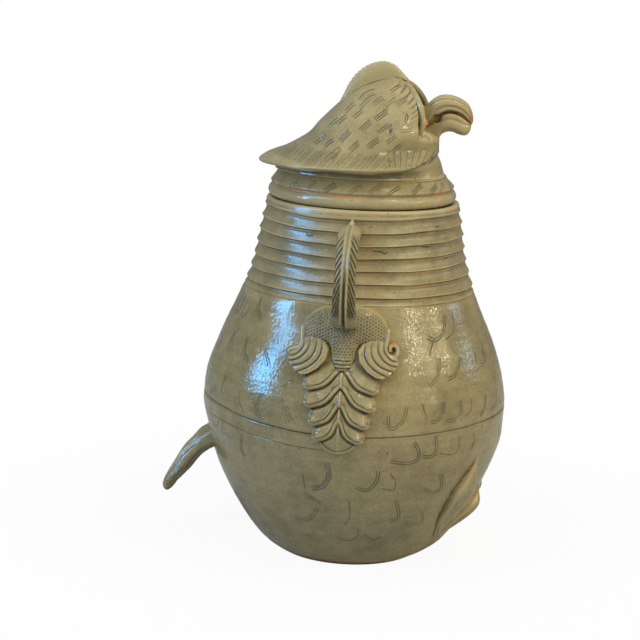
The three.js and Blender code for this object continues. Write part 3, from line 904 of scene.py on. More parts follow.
def paint_curl(relief, here, up, hook):
    inside = np.where(here > 0, inside_of(here, up, curl_outline), -9.0)
    gaps = [nearest_on(here, up, smooth_line(points))[0] for points in curl_lines]
    nearest = np.minimum(np.min(gaps, axis=0), 9.0)
    grown = step(191.5 - up, 0, 7)
    rib = 2.1 * dome(1 - np.clip(nearest / 1.9, 0, 1)) * (0.25 + 0.75 * grown)
    shell = 6.3 - 1.4 * grown + 2.3 * grown * dome(1 - np.clip(inside / 7.5, 0, 1))
    bulb = 1.1 * bell(np.hypot(here - 36.6, up - 176), 2.8)
    drawn = 0.55 * (1 - step(nearest, 0.5, 1.4)) * grown
    relief.paint(inside, shell + rib + bulb, 1.7 * step(190 - up, 0, 4), nearest, drawn)

    gap, _, run, _ = nearest_on(here, up, smooth_line(hook, 28))
    width = 1.7 - 0.3 * run
    crest = 4.8 + 0.6 * step(run, 0.0, 0.25) + 1.8 * dome(np.clip(gap / width, 0, 1))
    relief.raise_to(np.where(here > 0, width - gap, -9.0), crest)


print("ribs of a curl:", len(curl_lines) + 1)

# %% [markdown]
# The shoulder of the wing is a smooth plate, pricked all over in slanting rows with a blunt
# point. Under it three short lines are pressed across the root of the leaf.

# %% The wing's shoulder
plate_outline = [
    (-9, 214.6), (10, 214.6), (18, 213), (24.5, 209.6), (29.5, 204.4), (32, 199), (32.6, 193), (31, 187),
    (26, 184), (18, 186), (11.5, 187), (9.2, 183), (8.6, 178), (7.2, 174), (5.6, 170.5), (3, 168.6),
    (-9, 168.6),
]
plate_height = 5.0
dot_rows, dot_pitch = 2.1, 2.4
root_lines = (176.2, 173.4, 170.6)


def paint_shoulder(relief, v, z):
    away = np.abs(v)
    inside = inside_of(away, z, plate_outline)
    tall = plate_height + 3.0 * step(z, 178, 206)
    relief.paint(inside, 0.9 + tall * dome(1 - np.clip(inside / 14, 0, 1)), 0.9)
    lean = np.where(away < 5.5, 0.0, 0.5) * np.sign(v)
    row_place = (z * np.cos(lean) + v * np.sin(lean)) / dot_rows
    row = np.round(row_place)
    dot_place = (v * np.cos(lean) - z * np.sin(lean)) / dot_pitch + 0.5 * (row % 2)
    dot = np.hypot((row_place - row) * dot_rows, (dot_place - np.round(dot_place)) * dot_pitch)
    stippled = step(inside, 1.2, 2.6) * (1 - step(z, 207, 211)) * step(z, 177, 179)
    relief.height = relief.height - 0.6 * bell(dot, 0.6) * stippled
    relief.overlay(stippled > 0, 0.5 * dot, 0.62 * stippled)
    for level in root_lines:
        near = np.abs(z - level) + 9 * (away > 6)
        relief.height = relief.height - 0.7 * bell(near, 0.6) * (inside > 0)
        relief.overlay((near < 1.3) & (inside > 0), z - level, 0.8)


print("rows of dots", dot_rows, "mm apart, dots", dot_pitch, "mm")

# %% [markdown]
# The wing is painted from the bottom up: the round end feather, the lobes, the midrib over them,
# the shoulder, and last the curls. Its edges are worn to orange clay, most of all a spot on the
# front curl.

# %% The whole wing
wing_shift = 0.9


def pad_grid(low, high, pitch):
    return np.meshgrid(np.arange(low[0], high[0], pitch), np.arange(low[1], high[1], pitch))


def wing_relief(across, z):
    v = across - wing_shift
    relief = Relief(v, z)
    inside = ellipse_inside(v, z, 121.5, 15.6, 14.2)
    rim = 0.45 * bell(inside - 1.0, 0.6) - 0.5 * bell(inside - 2.6, 0.6)
    tip = 1.4 + 3.2 * dome(1 - np.clip(inside / 6, 0, 1)) + rim + 0.7 * bell(v, 1.3)
    relief.paint(inside, tip, 0.0, inside - 2.6, 0.6)
    hang = z - 0.05 * np.minimum(v, 0)
    for end, drop in reversed(lobes):
        paint_lobe(relief, np.abs(v), hang, end, drop)
    midrib = 1.5 * bell(v, 0.9) * step(z, 128, 133) * (1 - step(z, 166, 170))
    relief.height = relief.height + midrib * (relief.outside < 0)
    paint_shoulder(relief, v, z)
    paint_curl(relief, v, z, back_hook)
    paint_curl(relief, -v, z, front_spiral)
    spiral_disc = np.where(v < 0, 4.6 - np.hypot(v + 34.4, z - 184.2), -9.0)
    relief.raise_to(spiral_disc, 3.0 + 0 * spiral_disc)
    return relief


def wing_rust(relief):
    v, z = relief.across, relief.up
    rim = bell(relief.outside + 0.3, 1.3) * (0.25 + 0.18 * step(-v, 4, 14))
    spot = bell(np.hypot(v + 35.2, (z - 188.8) * 1.6), 1.6)
    inner = bell(np.hypot(v - 13.5, (z - 180) * 0.25), 1.5)
    return np.clip(rim + 0.52 * spot + 0.36 * inner, 0, 1)


wing = wing_relief(*pad_grid((-44, 104), (45, 218), 0.43))
print("the wing rises", round(wing.height.max(), 1), "mm from the flank")


# %% [markdown]
# The modelled pads become closed pieces. The top follows the height, the underside lies a little
# inside the flank, and both meet where the height has come down to it.

# %% Pads as closed pieces
def pad_piece(name, relief, on_pot, rust, body, node):
    """on_pot turns places across, up and out from the surface into points of the pot"""
    thick = relief.height > pad_floor + 1e-6
    cells = thick[:-1, :-1] | thick[1:, :-1] | thick[:-1, 1:] | thick[1:, 1:]
    row, column = np.nonzero(cells)
    corner = row * thick.shape[1] + column
    above = corner + thick.shape[1]
    used, quads = np.unique(np.stack([corner, corner + 1, above + 1, above], axis=-1), return_inverse=True)
    quads = quads.reshape(-1, 4)
    across, up, height, drawn, depth, rust, raised = (
        part.ravel()[used]
        for part in (relief.across, relief.up, relief.height, relief.distance, relief.depth, rust, thick)
    )
    under = np.where(raised, len(used) + np.cumsum(raised) - 1, np.arange(len(used)))
    top = on_pot(across, up, np.maximum(height, pad_floor))
    low = on_pot(across[raised], up[raised], pad_floor)
    faces = np.concatenate([quads, under[quads][:, ::-1]])
    mesh = build_mesh(name, np.concatenate([top, low]), faces)
    numbers = {"lines_and_shade": np.stack([drawn, depth, 0 * depth], axis=-1), "rust": rust}
    return make_piece(name, mesh, glaze, body, node, with_lining(numbers, (raised.sum(),)), rounds=14)


def on_flank(side):
    """Places on the owl's right flank (side 1) or left flank (side -1)"""
    def place(across, up, height):
        radius = body_radius(up)
        reach = radius + height
        return grid_of(-side * reach * np.cos(across / radius), reach * np.sin(across / radius), up)
    return place


for side, word in ((1, "right"), (-1, "left")):
    pad_piece(f"visual_{word}_wing", wing, on_flank(side), wing_rust(wing), "jar", f"{word}_wing_relief")

# %% [markdown]
# Each foot is two toes of clay, stuck side by side on the lower front of the belly. They were
# pressed on along their back edge, and a dark line is painted on the belly there as painted
# shadow. They taper to a point above the base. Their lines are given from the top down, as
# degrees from the owl's front and heights.

# %% Feet
def toe_line(places):
    return smooth_line([(math.radians(angle) * float(body_radius(z)), z) for angle, z in places], 24)


# For each toe: its line, half its width and its height
toes = [
    (toe_line([(13, 63), (14, 51), (18, 38), (26, 24)]), 9.2, 9.2),
    (toe_line([(29, 95), (30.4, 80), (31.2, 66), (31, 48), (29.5, 26)]), 11.8, 8.2),
]


def foot_relief(across, up):
    relief = Relief(across, up)
    for line, half_width, tall in toes:
        gap, _, run, _ = nearest_on(across, up, line)
        width = half_width * (0.12 + 0.88 * step(run, 0, 0.42)) * (1 - 0.80 * step(run, 0.64, 1.03))
        width = width - 0.5 * (run == 0)
        rise = tall * (0.12 + 0.88 * step(run, 0, 0.40)) * (1 - 0.84 * step(run, 0.42, 1.0))
        share = np.clip(gap / np.maximum(width, 0.5), 0, 1)
        relief.paint(width - 0.7 - gap, 0.7 + rise * dome(share), 1.2)
    return relief


def front_swell(angle, height):
    """The belly was pushed out a little where the feet are; the angle counts from the owl's front"""
    return 2.4 * bell(angle, 0.75) * step(height, 2, 16) * (1 - step(height, 96, 118))


def on_front(side):
    def place(across, up, height):
        radius = body_radius(up)
        angle = across / radius
        reach = radius + height + front_swell(angle, up)
        return grid_of(-side * reach * np.sin(angle), -reach * np.cos(angle), up)
    return place


foot = foot_relief(*pad_grid((4, 14), (86, 106), 0.55))
foot_rust = 0.30 * bell(foot.outside + 0.5, 1.2)
for side, word in ((1, "right"), (-1, "left")):
    pad_piece(f"visual_{word}_foot", foot, on_front(side), foot_rust, "jar", f"{word}_foot")

# %% [markdown]
# Both halves of the body use the same outline. Rows of points lie close together on the outside,
# where the strokes are, and far apart on the inside. A worn orange rim shows at the foot, and the
# glaze ran thin beside the wings.

# %% Rows of the body
floor_height = 9
# Here the inside of the wall begins to bend into the floor
floor_curve = 18
shell_top = 214.0


def bowl_rows():
    rows = [(body_radius(0), 0)]
    for share in np.concatenate([[0.004, 0.012], np.linspace(0.02, 1, 118)]):
        height = share * (seam - luting_gap)
        rows.append((body_radius(height) - 0.28 * bell(height - seam, 0.7), height))
    inner = []
    for share in np.linspace(1, 0, 14):
        height = floor_curve + (seam - luting_gap - floor_curve) * share
        inner.append((body_radius(height) - wall, height))
    inner += [(62, 12.5), (56, 10), (40, floor_height), (10, floor_height)]
    return rows, inner


def shell_rows():
    rows = []
    for share in np.linspace(0, 1, 92):
        height = seam + (shell_top - seam) * share
        dip = 0.28 * bell(height - seam, 0.7) + 0.15 * bell(height - shell_top, 0.6)
        rows.append((body_radius(height) - dip, height))
    inner = [(80.5, shell_top)]
    for share in np.linspace(0.93, 0, 12):
        height = seam + (shell_top - seam) * share
        inner.append((body_radius(height) - wall, height))
    return rows, inner


def body_rust(rings):
    radius = np.hypot(rings[..., 0], rings[..., 1])
    across = np.arctan2(rings[..., 1], np.abs(rings[..., 0])) * radius
    z = rings[..., 2]
    rust = 0.62 * (1 - step(z, 3.5, 8))
    near = (np.abs(across) < 52) & (z > 98)
    beside = wing_relief(across[near], z[near]).outside
    edge = (0.24 + 0.26 * step(-across[near], 5, 25)) * bell(np.maximum(beside, 0), 1.7)
    rust[near] = np.maximum(rust[near], edge)
    return rust


print("floor", floor_height, "mm thick, walls", wall, "mm")

# %% [markdown]
# The strokes are drawn on the outside first. The joint is scored with a line, and a second line
# runs below it round the back. Then the fingers' unevenness and the swelling behind the feet
# move the surface, and the strokes move with it.

# %% The thrown body
second_line = 11.6
# The line of painted shadow along the back of the toes: degrees from the flank's middle, and heights
toe_edge = [(-59.8, 91.2), (-54.8, 79.8), (-51.3, 65.6), (-51.3, 47.5), (-56.6, 26.3)]


def score(drawing, height, depth):
    gap = drawing.up - height
    near = (np.abs(gap) < 2.2) & (depth > 0)
    drawing.overlay(near, gap, depth * (1 - step(np.abs(gap), 1.2, 2.2)))


def body_drawing(skin):
    across, mean_radius = places_round(skin)
    drawing = Drawing(across, skin[..., 2], 2 * math.pi * mean_radius)
    feather_strokes(drawing, mean_radius)
    score(drawing, seam, 0.42 + 0.22 * np.sin(3 * turn + 0.6))
    score(drawing, seam - second_line, 0.7 * step(flank_angle, 2, 10))
    places = [(math.radians(a) * float(body_radius(z)), z) for a, z in toe_edge]
    # Painted shadow: a dark line along the back edge of the toes
    toe_shadow_line = smooth_line(places, 40)
    for centre, mirror in ((0, 1), (math.pi, -1)):
        drawing.stroke((centre * mean_radius, 0), toe_shadow_line * np.array([mirror, 1]), 0.45)
    return drawing


def body_piece(name, outside, inside, node, loop, seed):
    """outside and inside are rows of radius and height"""
    skin = round_pot(outside)
    lining = round_pot(inside)
    drawing = body_drawing(skin)
    edge = np.minimum(np.arange(len(skin)), np.arange(len(skin))[::-1])[:, None]
    lift = uneven(skin[..., 2], seed) * step(edge, 0, 6)
    lift = lift + front_swell(np.radians(flank_angle + 90), skin[..., 2])
    skin = skin + outward_of(skin) * lift[..., None]
    share = step(edge, 1, 9) + 0 * lift
    numbers = {"lines_and_shade": drawing.numbers(), "rust": body_rust(skin), "share": share}
    numbers = with_lining(numbers, lining.shape[:2])
    return ring_piece(name, np.concatenate([skin, lining]), glaze, "jar", node, numbers, loop)


body_piece("visual_lower_bowl", *bowl_rows(), "lower_bowl", False, 3)
body_piece("visual_upper_shell", *shell_rows(), "upper_shell", True, 4)

# %% [markdown]
# The neck is ribbed: the potter pressed the side of a stick against the turning clay, seven times
# over. Between the hollows thin sharp ridges are left, where the glaze runs off and goes pale, and
# a painted highlight runs along them.

# %% Rows of the neck
rib_radii = [89.1, 86.0, 83.4, 81.8, 80.3, 78.7, 76.7]
rib_pitch = 9.6
flute_depth = 1.6
lowest_rib = 220.0
mouth_height = 283.5


def neck_rows():
    rows = []
    crests = [(rib_radii[0] + 1.6, 214.4)]
    crests += [(radius + 0.25, lowest_rib + rib_pitch * i) for i, radius in enumerate(rib_radii)]
    places = (0.0, 0.02, 0.05, 0.1, 0.17, 0.27, 0.38, 0.5, 0.6, 0.69, 0.77, 0.84, 0.9, 0.95, 0.985)
    for (radius, z), (following, above) in zip(crests, crests[1:]):
        for share in places:
            hollow = flute_depth * math.sin(math.pi * share**1.4) ** 0.66
            rows.append((radius + (following - radius) * share - hollow, z + (above - z) * share))
    rows.append(crests[-1])
    rows += [(76.2, 279.4), (76.0, 281), (75.8, 282.2), (75.3, 283.1), (74.3, mouth_height)]
    inner = [(71.0, mouth_height), (69.9, 283.1), (69.3, 282.2), (69.2, 281.2)]
    inner += [(75 - 5.8 * t**1.5, 244 + 36 * t) for t in np.linspace(0.95, 0, 8)]
    inner += [(77.4, 229), (79.7, 214.4)]
    return rows, inner


print("ribs:", len(rib_radii), "mouth", 2 * 69.2, "mm across")

# %% [markdown]
# The ribs wander a little up and down. A line of painted shade runs under each ridge, a few
# small pits stay open, and the ridges towards the front are worn orange.

# %% Marks on the neck
# Small pits in the neck: degrees from the flank's middle towards the back, height, length
neck_pits = [
    (-51, 271, 3), (-41, 257, 5), (-44, 256.4, 4), (-14, 254, 6), (-18, 252.6, 3), (-60, 246, 3),
    (24, 262, 3),
]
pit_radius = 80


def neck_wave(height):
    shift = np.random.default_rng(8).uniform(0, 2 * math.pi, 6)
    share = step(height, 216, 224) * (1 - step(height, 276, 282))
    wave = 0.55 * np.sin(2 * turn + shift[0] + height / 31)
    wave = wave + 0.35 * np.sin(3 * turn + shift[1] - height / 19)
    wave = wave + 0.22 * np.sin(7 * turn + shift[2] + height / 9) + 0.12 * np.sin(13 * turn + shift[3])
    return share * wave


def neck_drawing(across, z, level, gap):
    """level is the height above the lowest rib, and gap the height above the nearest rib"""
    drawing = Drawing(across, z)
    for degrees, height, length in neck_pits:
        line = [(-length / 2, 0.3), (-length / 5, -0.2), (length / 2, 0.2)]
        drawing.stroke((math.radians(degrees) * pit_radius, height), line)
    # Painted shade: a dark line just under each ridge
    shadow = 0.6 * (np.abs(gap + 1.1) < 2) * (level < rib_pitch * 6.5)
    shadow = shadow * (0.75 + 0.25 * np.sin(5 * turn + level / 9))
    drawing.overlay((drawing.depth < 0.1) & (shadow > 0), (gap + 1.1) * 0.8, shadow)
    return drawing


def neck_rust(z, gap):
    beside_handle = bell(np.abs(flank_angle) - 9, 9) * step(z, 212, 220)
    towards_front = bell(flank_angle + 40, 22) * (1 - step(z, 240, 262))
    return 0.34 * beside_handle + 0.52 * towards_front * (0.45 + 0.55 * bell(gap + 1.5, 1.3))


print("pits:", len(neck_pits), "ribs wander up to", round(neck_wave(250.0).max(), 2), "mm")

# %% [markdown]
# Fine comb marks run over the ribs, and the ridges count as prouder than they are, so that they
# are painted paler: partly glaze run thin, partly a painted highlight along each ridge.

# %% Ribbed neck
def neck_piece():
    rows, inner = neck_rows()
    skin = round_pot([(r, z + neck_wave(z)) for r, z in rows])
    lining = round_pot(inner)
    z = skin[..., 2]
    combed = np.sin(z * 2 * math.pi / 2.3 + 2.5 * np.sin(2 * turn + 1)) * np.sin(3 * turn + z / 5)
    lift = (0.5 * uneven(z, 9) + 0.11 * combed) * (z < 281)
    skin = skin + outward_of(skin) * lift[..., None]
    level = np.array([z for _, z in rows])[:, None] - lowest_rib
    gap = level - rib_pitch * np.round(level / rib_pitch) + 0 * turn
    numbers = {
        "lines_and_shade": neck_drawing(places_round(skin)[0], z, level, gap).numbers(),
        "rust": neck_rust(z, gap),
        # Ridges painted paler: a painted highlight along each one
        "share": 1 + 4.5 * bell(gap, 0.7),
    }
    numbers = with_lining(numbers, lining.shape[:2])
    rings = np.concatenate([skin, lining])
    return ring_piece("visual_ribbed_neck", rings, dull_glaze, "jar", "ribbed_neck", numbers, True, 10)


neck_piece()

# %% [markdown]
# The strap handles were pulled by hand and bent over. On the outside each one is cut like a
# feather: a double ridge down the middle with a groove that deepens downwards, and slanting
# barbs on both sides. Its lower end is smeared onto the wing.

# %% Strap handles
handle_route = [
    (76, 267.4), (88, 270), (102, 268.5), (113, 260), (119.5, 247), (122, 233), (121, 219), (114, 207),
    (104, 202), (95.5, 199),
]
handle_width = curve_through([[0, 15.5], [0.25, 17], [0.45, 15.5], [0.7, 17.5], [0.88, 21], [1, 15]])
handle_thickness = curve_through([[0, 9], [0.2, 10], [0.7, 10], [0.86, 8.4], [0.94, 6], [1, 2.5]])
barb_pitch = 5.1


def feather_cut(share, run, y, outer):
    """What the cuts add to the strap's thickness, and the numbers of their drawn lines"""
    away = np.abs(y)
    groove = 0.35 + 2.1 * step(share, 0.40, 0.75)
    middle = 0.85 * bell(away - 1.8, 0.8) - groove * bell(y, 0.8)
    slope = 1.5 + 1.3 * step(share, 0.35, 0.8)
    phase = (run - slope * (away - 2.6)) / barb_pitch
    gap = (phase - np.round(phase)) * barb_pitch
    barbs = step(away, 2.4, 3.6) * step(share, 0.24, 0.3) * (1 - step(share, 0.74, 0.8))
    cut = outer * (middle * (1 - step(share, 0.80, 0.90)) - 0.95 * barbs * bell(gap, 0.85))
    in_groove = 0.95 * step(share, 0.45, 0.6) * (1 - step(share, 0.82, 0.88))
    drawn = np.where(away < 1.2, away * 0.7, 0.8 * gap / np.hypot(1, slope))
    depth = np.where(away < 1.2, in_groove, barbs) * outer
    return cut, grid_of(drawn, depth, 0 * y)


def handle_piece(name, side, node):
    around = full_turn(120)
    places, share, length = route_through(handle_route, 210)
    along = unit(np.gradient(places, axis=0))
    share = share[:, None]
    y = handle_width(share) / 2 * signed_power(np.sin(around), 0.75)
    cut, drawn = feather_cut(share, share * length, y, step(np.cos(around), 0.0, 0.35))
    thick = handle_thickness(share) / 2 * signed_power(np.cos(around), 0.75) + cut
    reach = places[:, :1] - along[:, 1:] * thick
    height = places[:, 1:] + along[:, :1] * thick
    rings = grid_of(-side * reach, y, height)
    numbers = {"lines_and_shade": drawn, "rust": 0.12 * step(share, 0.05, 0.2) + 0 * y, "share": 0.6 + 0 * y}
    return ring_piece(name, rings, glaze, "jar", node, numbers)


print("handle:", round(route_through(handle_route, 2)[2]), "mm long")

# %% [markdown]
# A small cone of clay closes the top of each handle, where it meets the neck, and leans inwards.

# %% Cones on the handles
def handle_cone(name, side, node):
    share = np.linspace(0, 1, 14)[:, None]
    around = full_turn(32)
    radius = 2.9 * (1 - share**1.4) + 0.15
    reach = 88.5 - 9.3 * share + radius * np.cos(around) * 0.5
    height = 272.2 + 6.0 * share + radius * np.cos(around) * 0.85
    rings = grid_of(-side * reach, radius * np.sin(around), height)
    numbers = {"lines_and_shade": clear_of_lines(rings.shape[:2]), "rust": 0 * reach}
    return ring_piece(name, rings, glaze, "jar", node, numbers)


for side, word in ((1, "right"), (-1, "left")):
    handle_piece(f"visual_{word}_handle", side, f"{word}_handle")
    handle_cone(f"visual_{word}_handle_tip", side, f"{word}_handle")

# %% [markdown]
# The tail is a thick fan of clay, combed lengthwise. Its upper side is drawn from the pot's
# outline and the lower side from the gap below it.

# %% Tail
tail_stations = [
    # the top's place towards the back and its height, then the same of the underside
    (108, 99, 104, 77), (117.5, 92, 110.5, 74.5), (124.6, 86.3, 116.3, 71.6), (131.3, 78.1, 121, 68.5),
    (137.4, 70.8, 126, 62.6), (142.6, 62.4, 131.4, 55), (147, 54.8, 137.2, 48.6),
    (150.4, 48.4, 141.8, 43.4), (152.2, 43, 144.8, 38.8), (151.9, 39, 146.8, 36.6),
    (150.4, 36.6, 148.4, 35.8),
]
tail_half_width = 22


def comb_marks(wide, share, around):
    draws = np.random.default_rng(5)
    comb = 0
    for pitch in (3.1, 4.3):
        wander = draws.uniform(0, 6) + 0.7 * np.sin(share * 9 + draws.uniform(0, 6))
        comb = comb + np.sin(wide * 2 * math.pi / pitch + wander)
    return comb - 0.8 * np.abs(np.sin(around * 7 + 0.5 * np.sin(share * 7)))


def tail_piece():
    top_y, top_z, low_y, low_z = (column[:, None] for column in columns_through(tail_stations, 190))
    share = np.linspace(0, 1, 190)[:, None]
    around = full_turn(144)
    end = np.sqrt(np.maximum(0.02, 1 - (np.maximum(share - 0.72, 0) / 0.285) ** 2))
    wide = tail_half_width * (0.80 + 0.20 * np.sin(share * math.pi)) * end
    wide = wide * signed_power(np.cos(around), 0.8)
    comb = comb_marks(wide, share, around)
    combed = step(share, 0.12, 0.3) * (1 - step(share, 0.93, 1))
    deep = signed_power(np.sin(around), 0.8) * (1 + 0.085 * comb * combed)
    y = (top_y + low_y) / 2 + (top_y - low_y) / 2 * deep
    z = (top_z + low_z) / 2 + (top_z - low_z) / 2 * deep
    drawn = grid_of(0.3, 0.5 * (comb < -0.9) * combed, 0 * y)
    numbers = {"lines_and_shade": drawn, "rust": 0.10 + 0 * y}
    return ring_piece("visual_tail", grid_of(wide, y, z), dull_glaze, "jar", "tail", numbers)


tail_piece()

# %% [markdown]
# The lid's ring is thrown: a locating flange that drops inside the mouth, a rolled rim, a groove
# and a coned collar. The owl's head is set on it, so the collar is tucked in a little at the face.

# %% Rows of the lid ring
lid_back = 0.9
lid_seat = 283.8
collar_foot, collar_top = 296.2, 305.5
flange_radius, lid_bore = 66, 61
# The rolled rim from the seat to the collar: radius, and height above the seat
rim_rows = [
    (66.6, 0), (70.6, 0), (71.6, 0.4), (72.5, 1.1), (73.3, 2.2), (73.8, 3.5), (74, 5), (73.8, 6.3),
    (73.3, 7.5), (72.6, 8.4), (71.9, 9.0), (71.2, 9.5), (70.9, 10.0), (71.1, 10.6), (71.7, 11.2),
    (71.9, 12),
]


def lid_rows():
    flange = [(lid_bore, -11.2), (61.8, -12), (65.2, -12), (flange_radius, -11), (flange_radius, -5)]
    flange += [(flange_radius, -0.6)]
    rows = [(radius, lid_seat + above) for radius, above in flange + rim_rows]
    for t in np.linspace(0.02, 1, 22):
        rows.append((72.2 - 6.0 * t - 0.3 * math.sin(math.pi * t), collar_foot + 9.0 * t))
    rows += [(65.8, collar_top + 0.1), (63.4, collar_top + 0.1), (60.9, collar_top), (60.6, 303)]
    rows += [(60.7, 297), (lid_bore, 290), (lid_bore, 281), (lid_bore, 275)]
    return rows


print("flange", flange_radius, "mm in radius, rim", max(r for r, _ in rim_rows), "mm")

# %% [markdown]
# Strokes slant across the collar and lean towards the face on both sides. The glaze is worn
# through to orange clay in the groove above the rim, more in some places than in others.

# %% Lid ring
collar_strokes = 26
collar_radius = 69.5


def collar_drawing(across, z):
    drawing = Drawing(across, z)
    draws = np.random.default_rng(31)
    for i in range(collar_strokes):
        degrees = -180 + i * 360 / collar_strokes + draws.uniform(-3, 3)
        place = math.radians(degrees) * collar_radius
        lean = draws.uniform(6.5, 8.5) * (1 if abs(place) < 109 else -1)
        rise = draws.uniform(4.5, 6)
        spacing = draws.choice([double, double, triple])
        ends = [(lean / 2, -rise / 2), (0, 0.3), (-lean / 2, rise / 2)]
        centre = (place, 299 + draws.uniform(-0.7, 0.7))
        drawing.stroke(centre, ends, spacing, draws.uniform(0.45, 0.9))
    return drawing


def lid_band_piece():
    rings = round_pot(lid_rows())
    z = rings[..., 2]
    radius = np.hypot(rings[..., 0], rings[..., 1])
    outside = (radius > 64.5) & (z > lid_seat)
    tuck = 1.8 * step(z, collar_foot, collar_top) * step(-rings[..., 1], 10, 45)
    rings = rings + outward_of(rings) * ((0.45 * uneven(z, 12) - tuck) * outside)[..., None]
    drawing = collar_drawing(np.where(outside, places_round(rings)[0], 999), z)
    wear = 0.32 + 0.42 * bell(flank_angle - 8, 17) + 0.30 * bell(flank_angle - 43, 7)
    wear = wear + 0.46 * bell(flank_angle + 62, 10)
    groove = np.clip(bell(z - lid_seat - 10.0, 1.3) * wear, 0, 1)
    lip = 0.28 * bell(z - lid_seat - 1.2, 1.0) * outside
    rings[..., 1] += lid_back
    numbers = {"lines_and_shade": drawing.numbers(), "rust": groove + lip, "share": 0.35 + 0 * z}
    return ring_piece("visual_lid_ring", rings, lid_painted_light_glaze, "lid", "lid_band", numbers, True)


lid_band_piece()

# %% [markdown]
# The head is a hollow dome. The back slopes down to a brim that flares over the collar, and the
# face is nearly flat, with a low boss that carries the beak. Three curves say how far it reaches
# at each height: towards the face, towards the back, and to the sides.

# %% The head's measures
face_reach = curve_through([
    [305, 64.6], [312, 61.2], [318, 58.8], [328, 57], [334, 55], [340, 51.5], [346, 49.5], [352, 49],
    [358, 46.9], [364, 43.9], [370, 39.2], [375, 33], [378.6, 25.4], [380, 20],
])
back_reach = curve_through([
    [305, 69.4], [309, 71], [317, 72], [323, 61.6], [333, 45.6], [343, 37], [352.8, 27.4], [362, 17.8],
    [370.3, 6.4], [376, -5.5], [378.6, -14], [380, -17],
])
side_reach = curve_through([
    [305, 66.8], [309, 68], [317, 71], [323, 66], [333, 59], [343, 52.5], [352.8, 45], [362, 34.5],
    [370.3, 21], [376, 9], [378.6, 3.4], [380, 1],
])
brim_rows = [
    # height, how far the brim flares, how far its front is raised
    (305.9, 0.3, 0), (306.8, 0, 0), (307.8, -0.3, 0.2), (308.8, -0.1, 0.5), (309.6, 1.2, 0.8),
    (310.2, 3.6, 1.2), (310.8, 6.2, 1.5), (311.4, 8.4, 1.8), (312.2, 9.8, 2.0), (313.2, 10.3, 2.2),
    (314.2, 10.0, 2.2), (315.2, 8.8, 2.0), (316.4, 6.9, 1.6), (317.8, 4.8, 1.1), (319.5, 2.7, 0.7),
    (321.5, 1.1, 0.3), (324, 0.2, 0), (326, 0, 0),
]
print("head at the brim:", 2 * float(side_reach(317)), "mm wide")

# %% [markdown]
# The head's rings are level. The plan of each one is squarer towards the face, where a shallow
# dish lies between the brows and the boss stands in it.

# %% The head's rings
head_turn = full_turn(520)


def face_boss(side, reach, z):
    dish = 10.0 * (1 - step(np.abs(side) / reach, 0.56, 0.86))
    dish = dish * step(z, 334, 344) * (1 - step(z, 374, 379))
    return 12.0 * bell(side, 13) * bell(z - 352.5, 8.5) + 3.5 * bell(side, 11) * bell(z - 339, 8) - dish


def head_ring(z, flare=0.0, lift=0.0, inset=0.0):
    """A ring as side, forward and height; side is towards the owl's right"""
    forward, sideways = np.cos(head_turn), np.sin(head_turn)
    square = 1 - 0.52 * step(z, 326, 344) * step(forward, 0.0, 0.25)
    front, back, side = (float(curve(z)) for curve in (face_reach, back_reach, side_reach))
    centre = float(step(z, 340, 372)) * (front - back) / 2
    brim = flare * (1 - step(forward, 0.25, 0.95))
    reach = np.where(forward > 0, front - centre, back + centre) - inset + brim
    f = centre + signed_power(forward, square) * np.maximum(reach, 0.5)
    s = signed_power(sideways, square) * np.maximum(side - inset + brim, 0.5)
    boss = face_boss(s, side, z) * (forward > 0) * (inset == 0)
    return grid_of(s, f + boss, z + lift * (forward + 0.3))


def head_levels():
    """Height, flare and lift of every ring of the outside"""
    low = np.stack(columns_through(brim_rows, 56), axis=-1)
    heights = [np.arange(327, 362, 1.1), np.arange(362, 374, 0.75), np.arange(374, 379.7, 0.35)]
    high = grid_of(np.concatenate(heights), 0, 0)
    return np.concatenate([low, high])


head_skin = np.stack([head_ring(*level) for level in head_levels()])
print("head rings:", len(head_skin))

# %% [markdown]
# Bundles of two or three short strokes stand for the small feathers of the head. All its strokes
# were drawn from the side, so they are given as places in the side view: forward, and height.

# %% Short strokes on the head
bundles = [
    (-10, 357, double), (-3, 353, double), (-22, 345, double), (11, 363, triple), (15, 353, triple),
    (23, 372, double), (29, 363, triple), (4, 345, triple), (-11, 337, triple), (-23, 331, double),
    (-31, 332, double), (11, 333, triple), (-3, 330, triple), (-17, 325, triple), (20, 362, double),
    (24, 336, double), (-15, 348, double), (28, 329, double), (1, 361, double), (17, 343, double),
]
diamonds = [(34, 352), (23, 344)]
diamond = [(0, -4.2), (1.2, 0), (0, 3.8), (-1.2, 0.2), (0, -4.2)]


def short_strokes(drawing, draws):
    for f, z, spacing in bundles:
        lean = math.radians(draws.uniform(36, 50))
        half = draws.uniform(3.0, 4.4)
        x, y = half * math.cos(lean), half * math.sin(lean)
        drawing.stroke((f, z), [(-x, -y), (0, 0.4), (x, y)], spacing, draws.uniform(0.6, 0.95))
    for place in diamonds:
        drawing.stroke(place, diamond, single, 0.85)
    drawing.stroke((5, 368), [(-9, -4), (-6.5, -1), (-3, 1.5), (1, 2.5)], single, 0.85)
    drawing.stroke((5, 366), [(-5, -3), (-1, 0), (2, 1)], single, 0.7)
    drawing.stroke((35, 343), [(-3.8, -0.6), (3.5, 0.4)], double, 0.7)


print("bundles of strokes:", len(bundles))

# %% [markdown]
# Longer slanting strokes run down the brim, and under the face they spread like a fan. Below the
# face a dark line is painted under the lip as painted shadow, a dark band is painted in the fold
# under the brim as painted shadow, and a line follows the foot of the crest.

# %% Long lines on the head
crease_shadow_line = [(16, 311.5), (26, 312), (34, 313.2), (43, 315.8), (52, 319.5), (60, 324)]
# Where the crest meets the head
crest_root = [
    (-23, 350), (-18, 353.5), (-12, 357.5), (-5, 362), (2, 365), (8, 367.5), (13, 369), (18, 370),
    (22, 370.5), (26, 370), (31, 369.5), (36, 369.5),
]


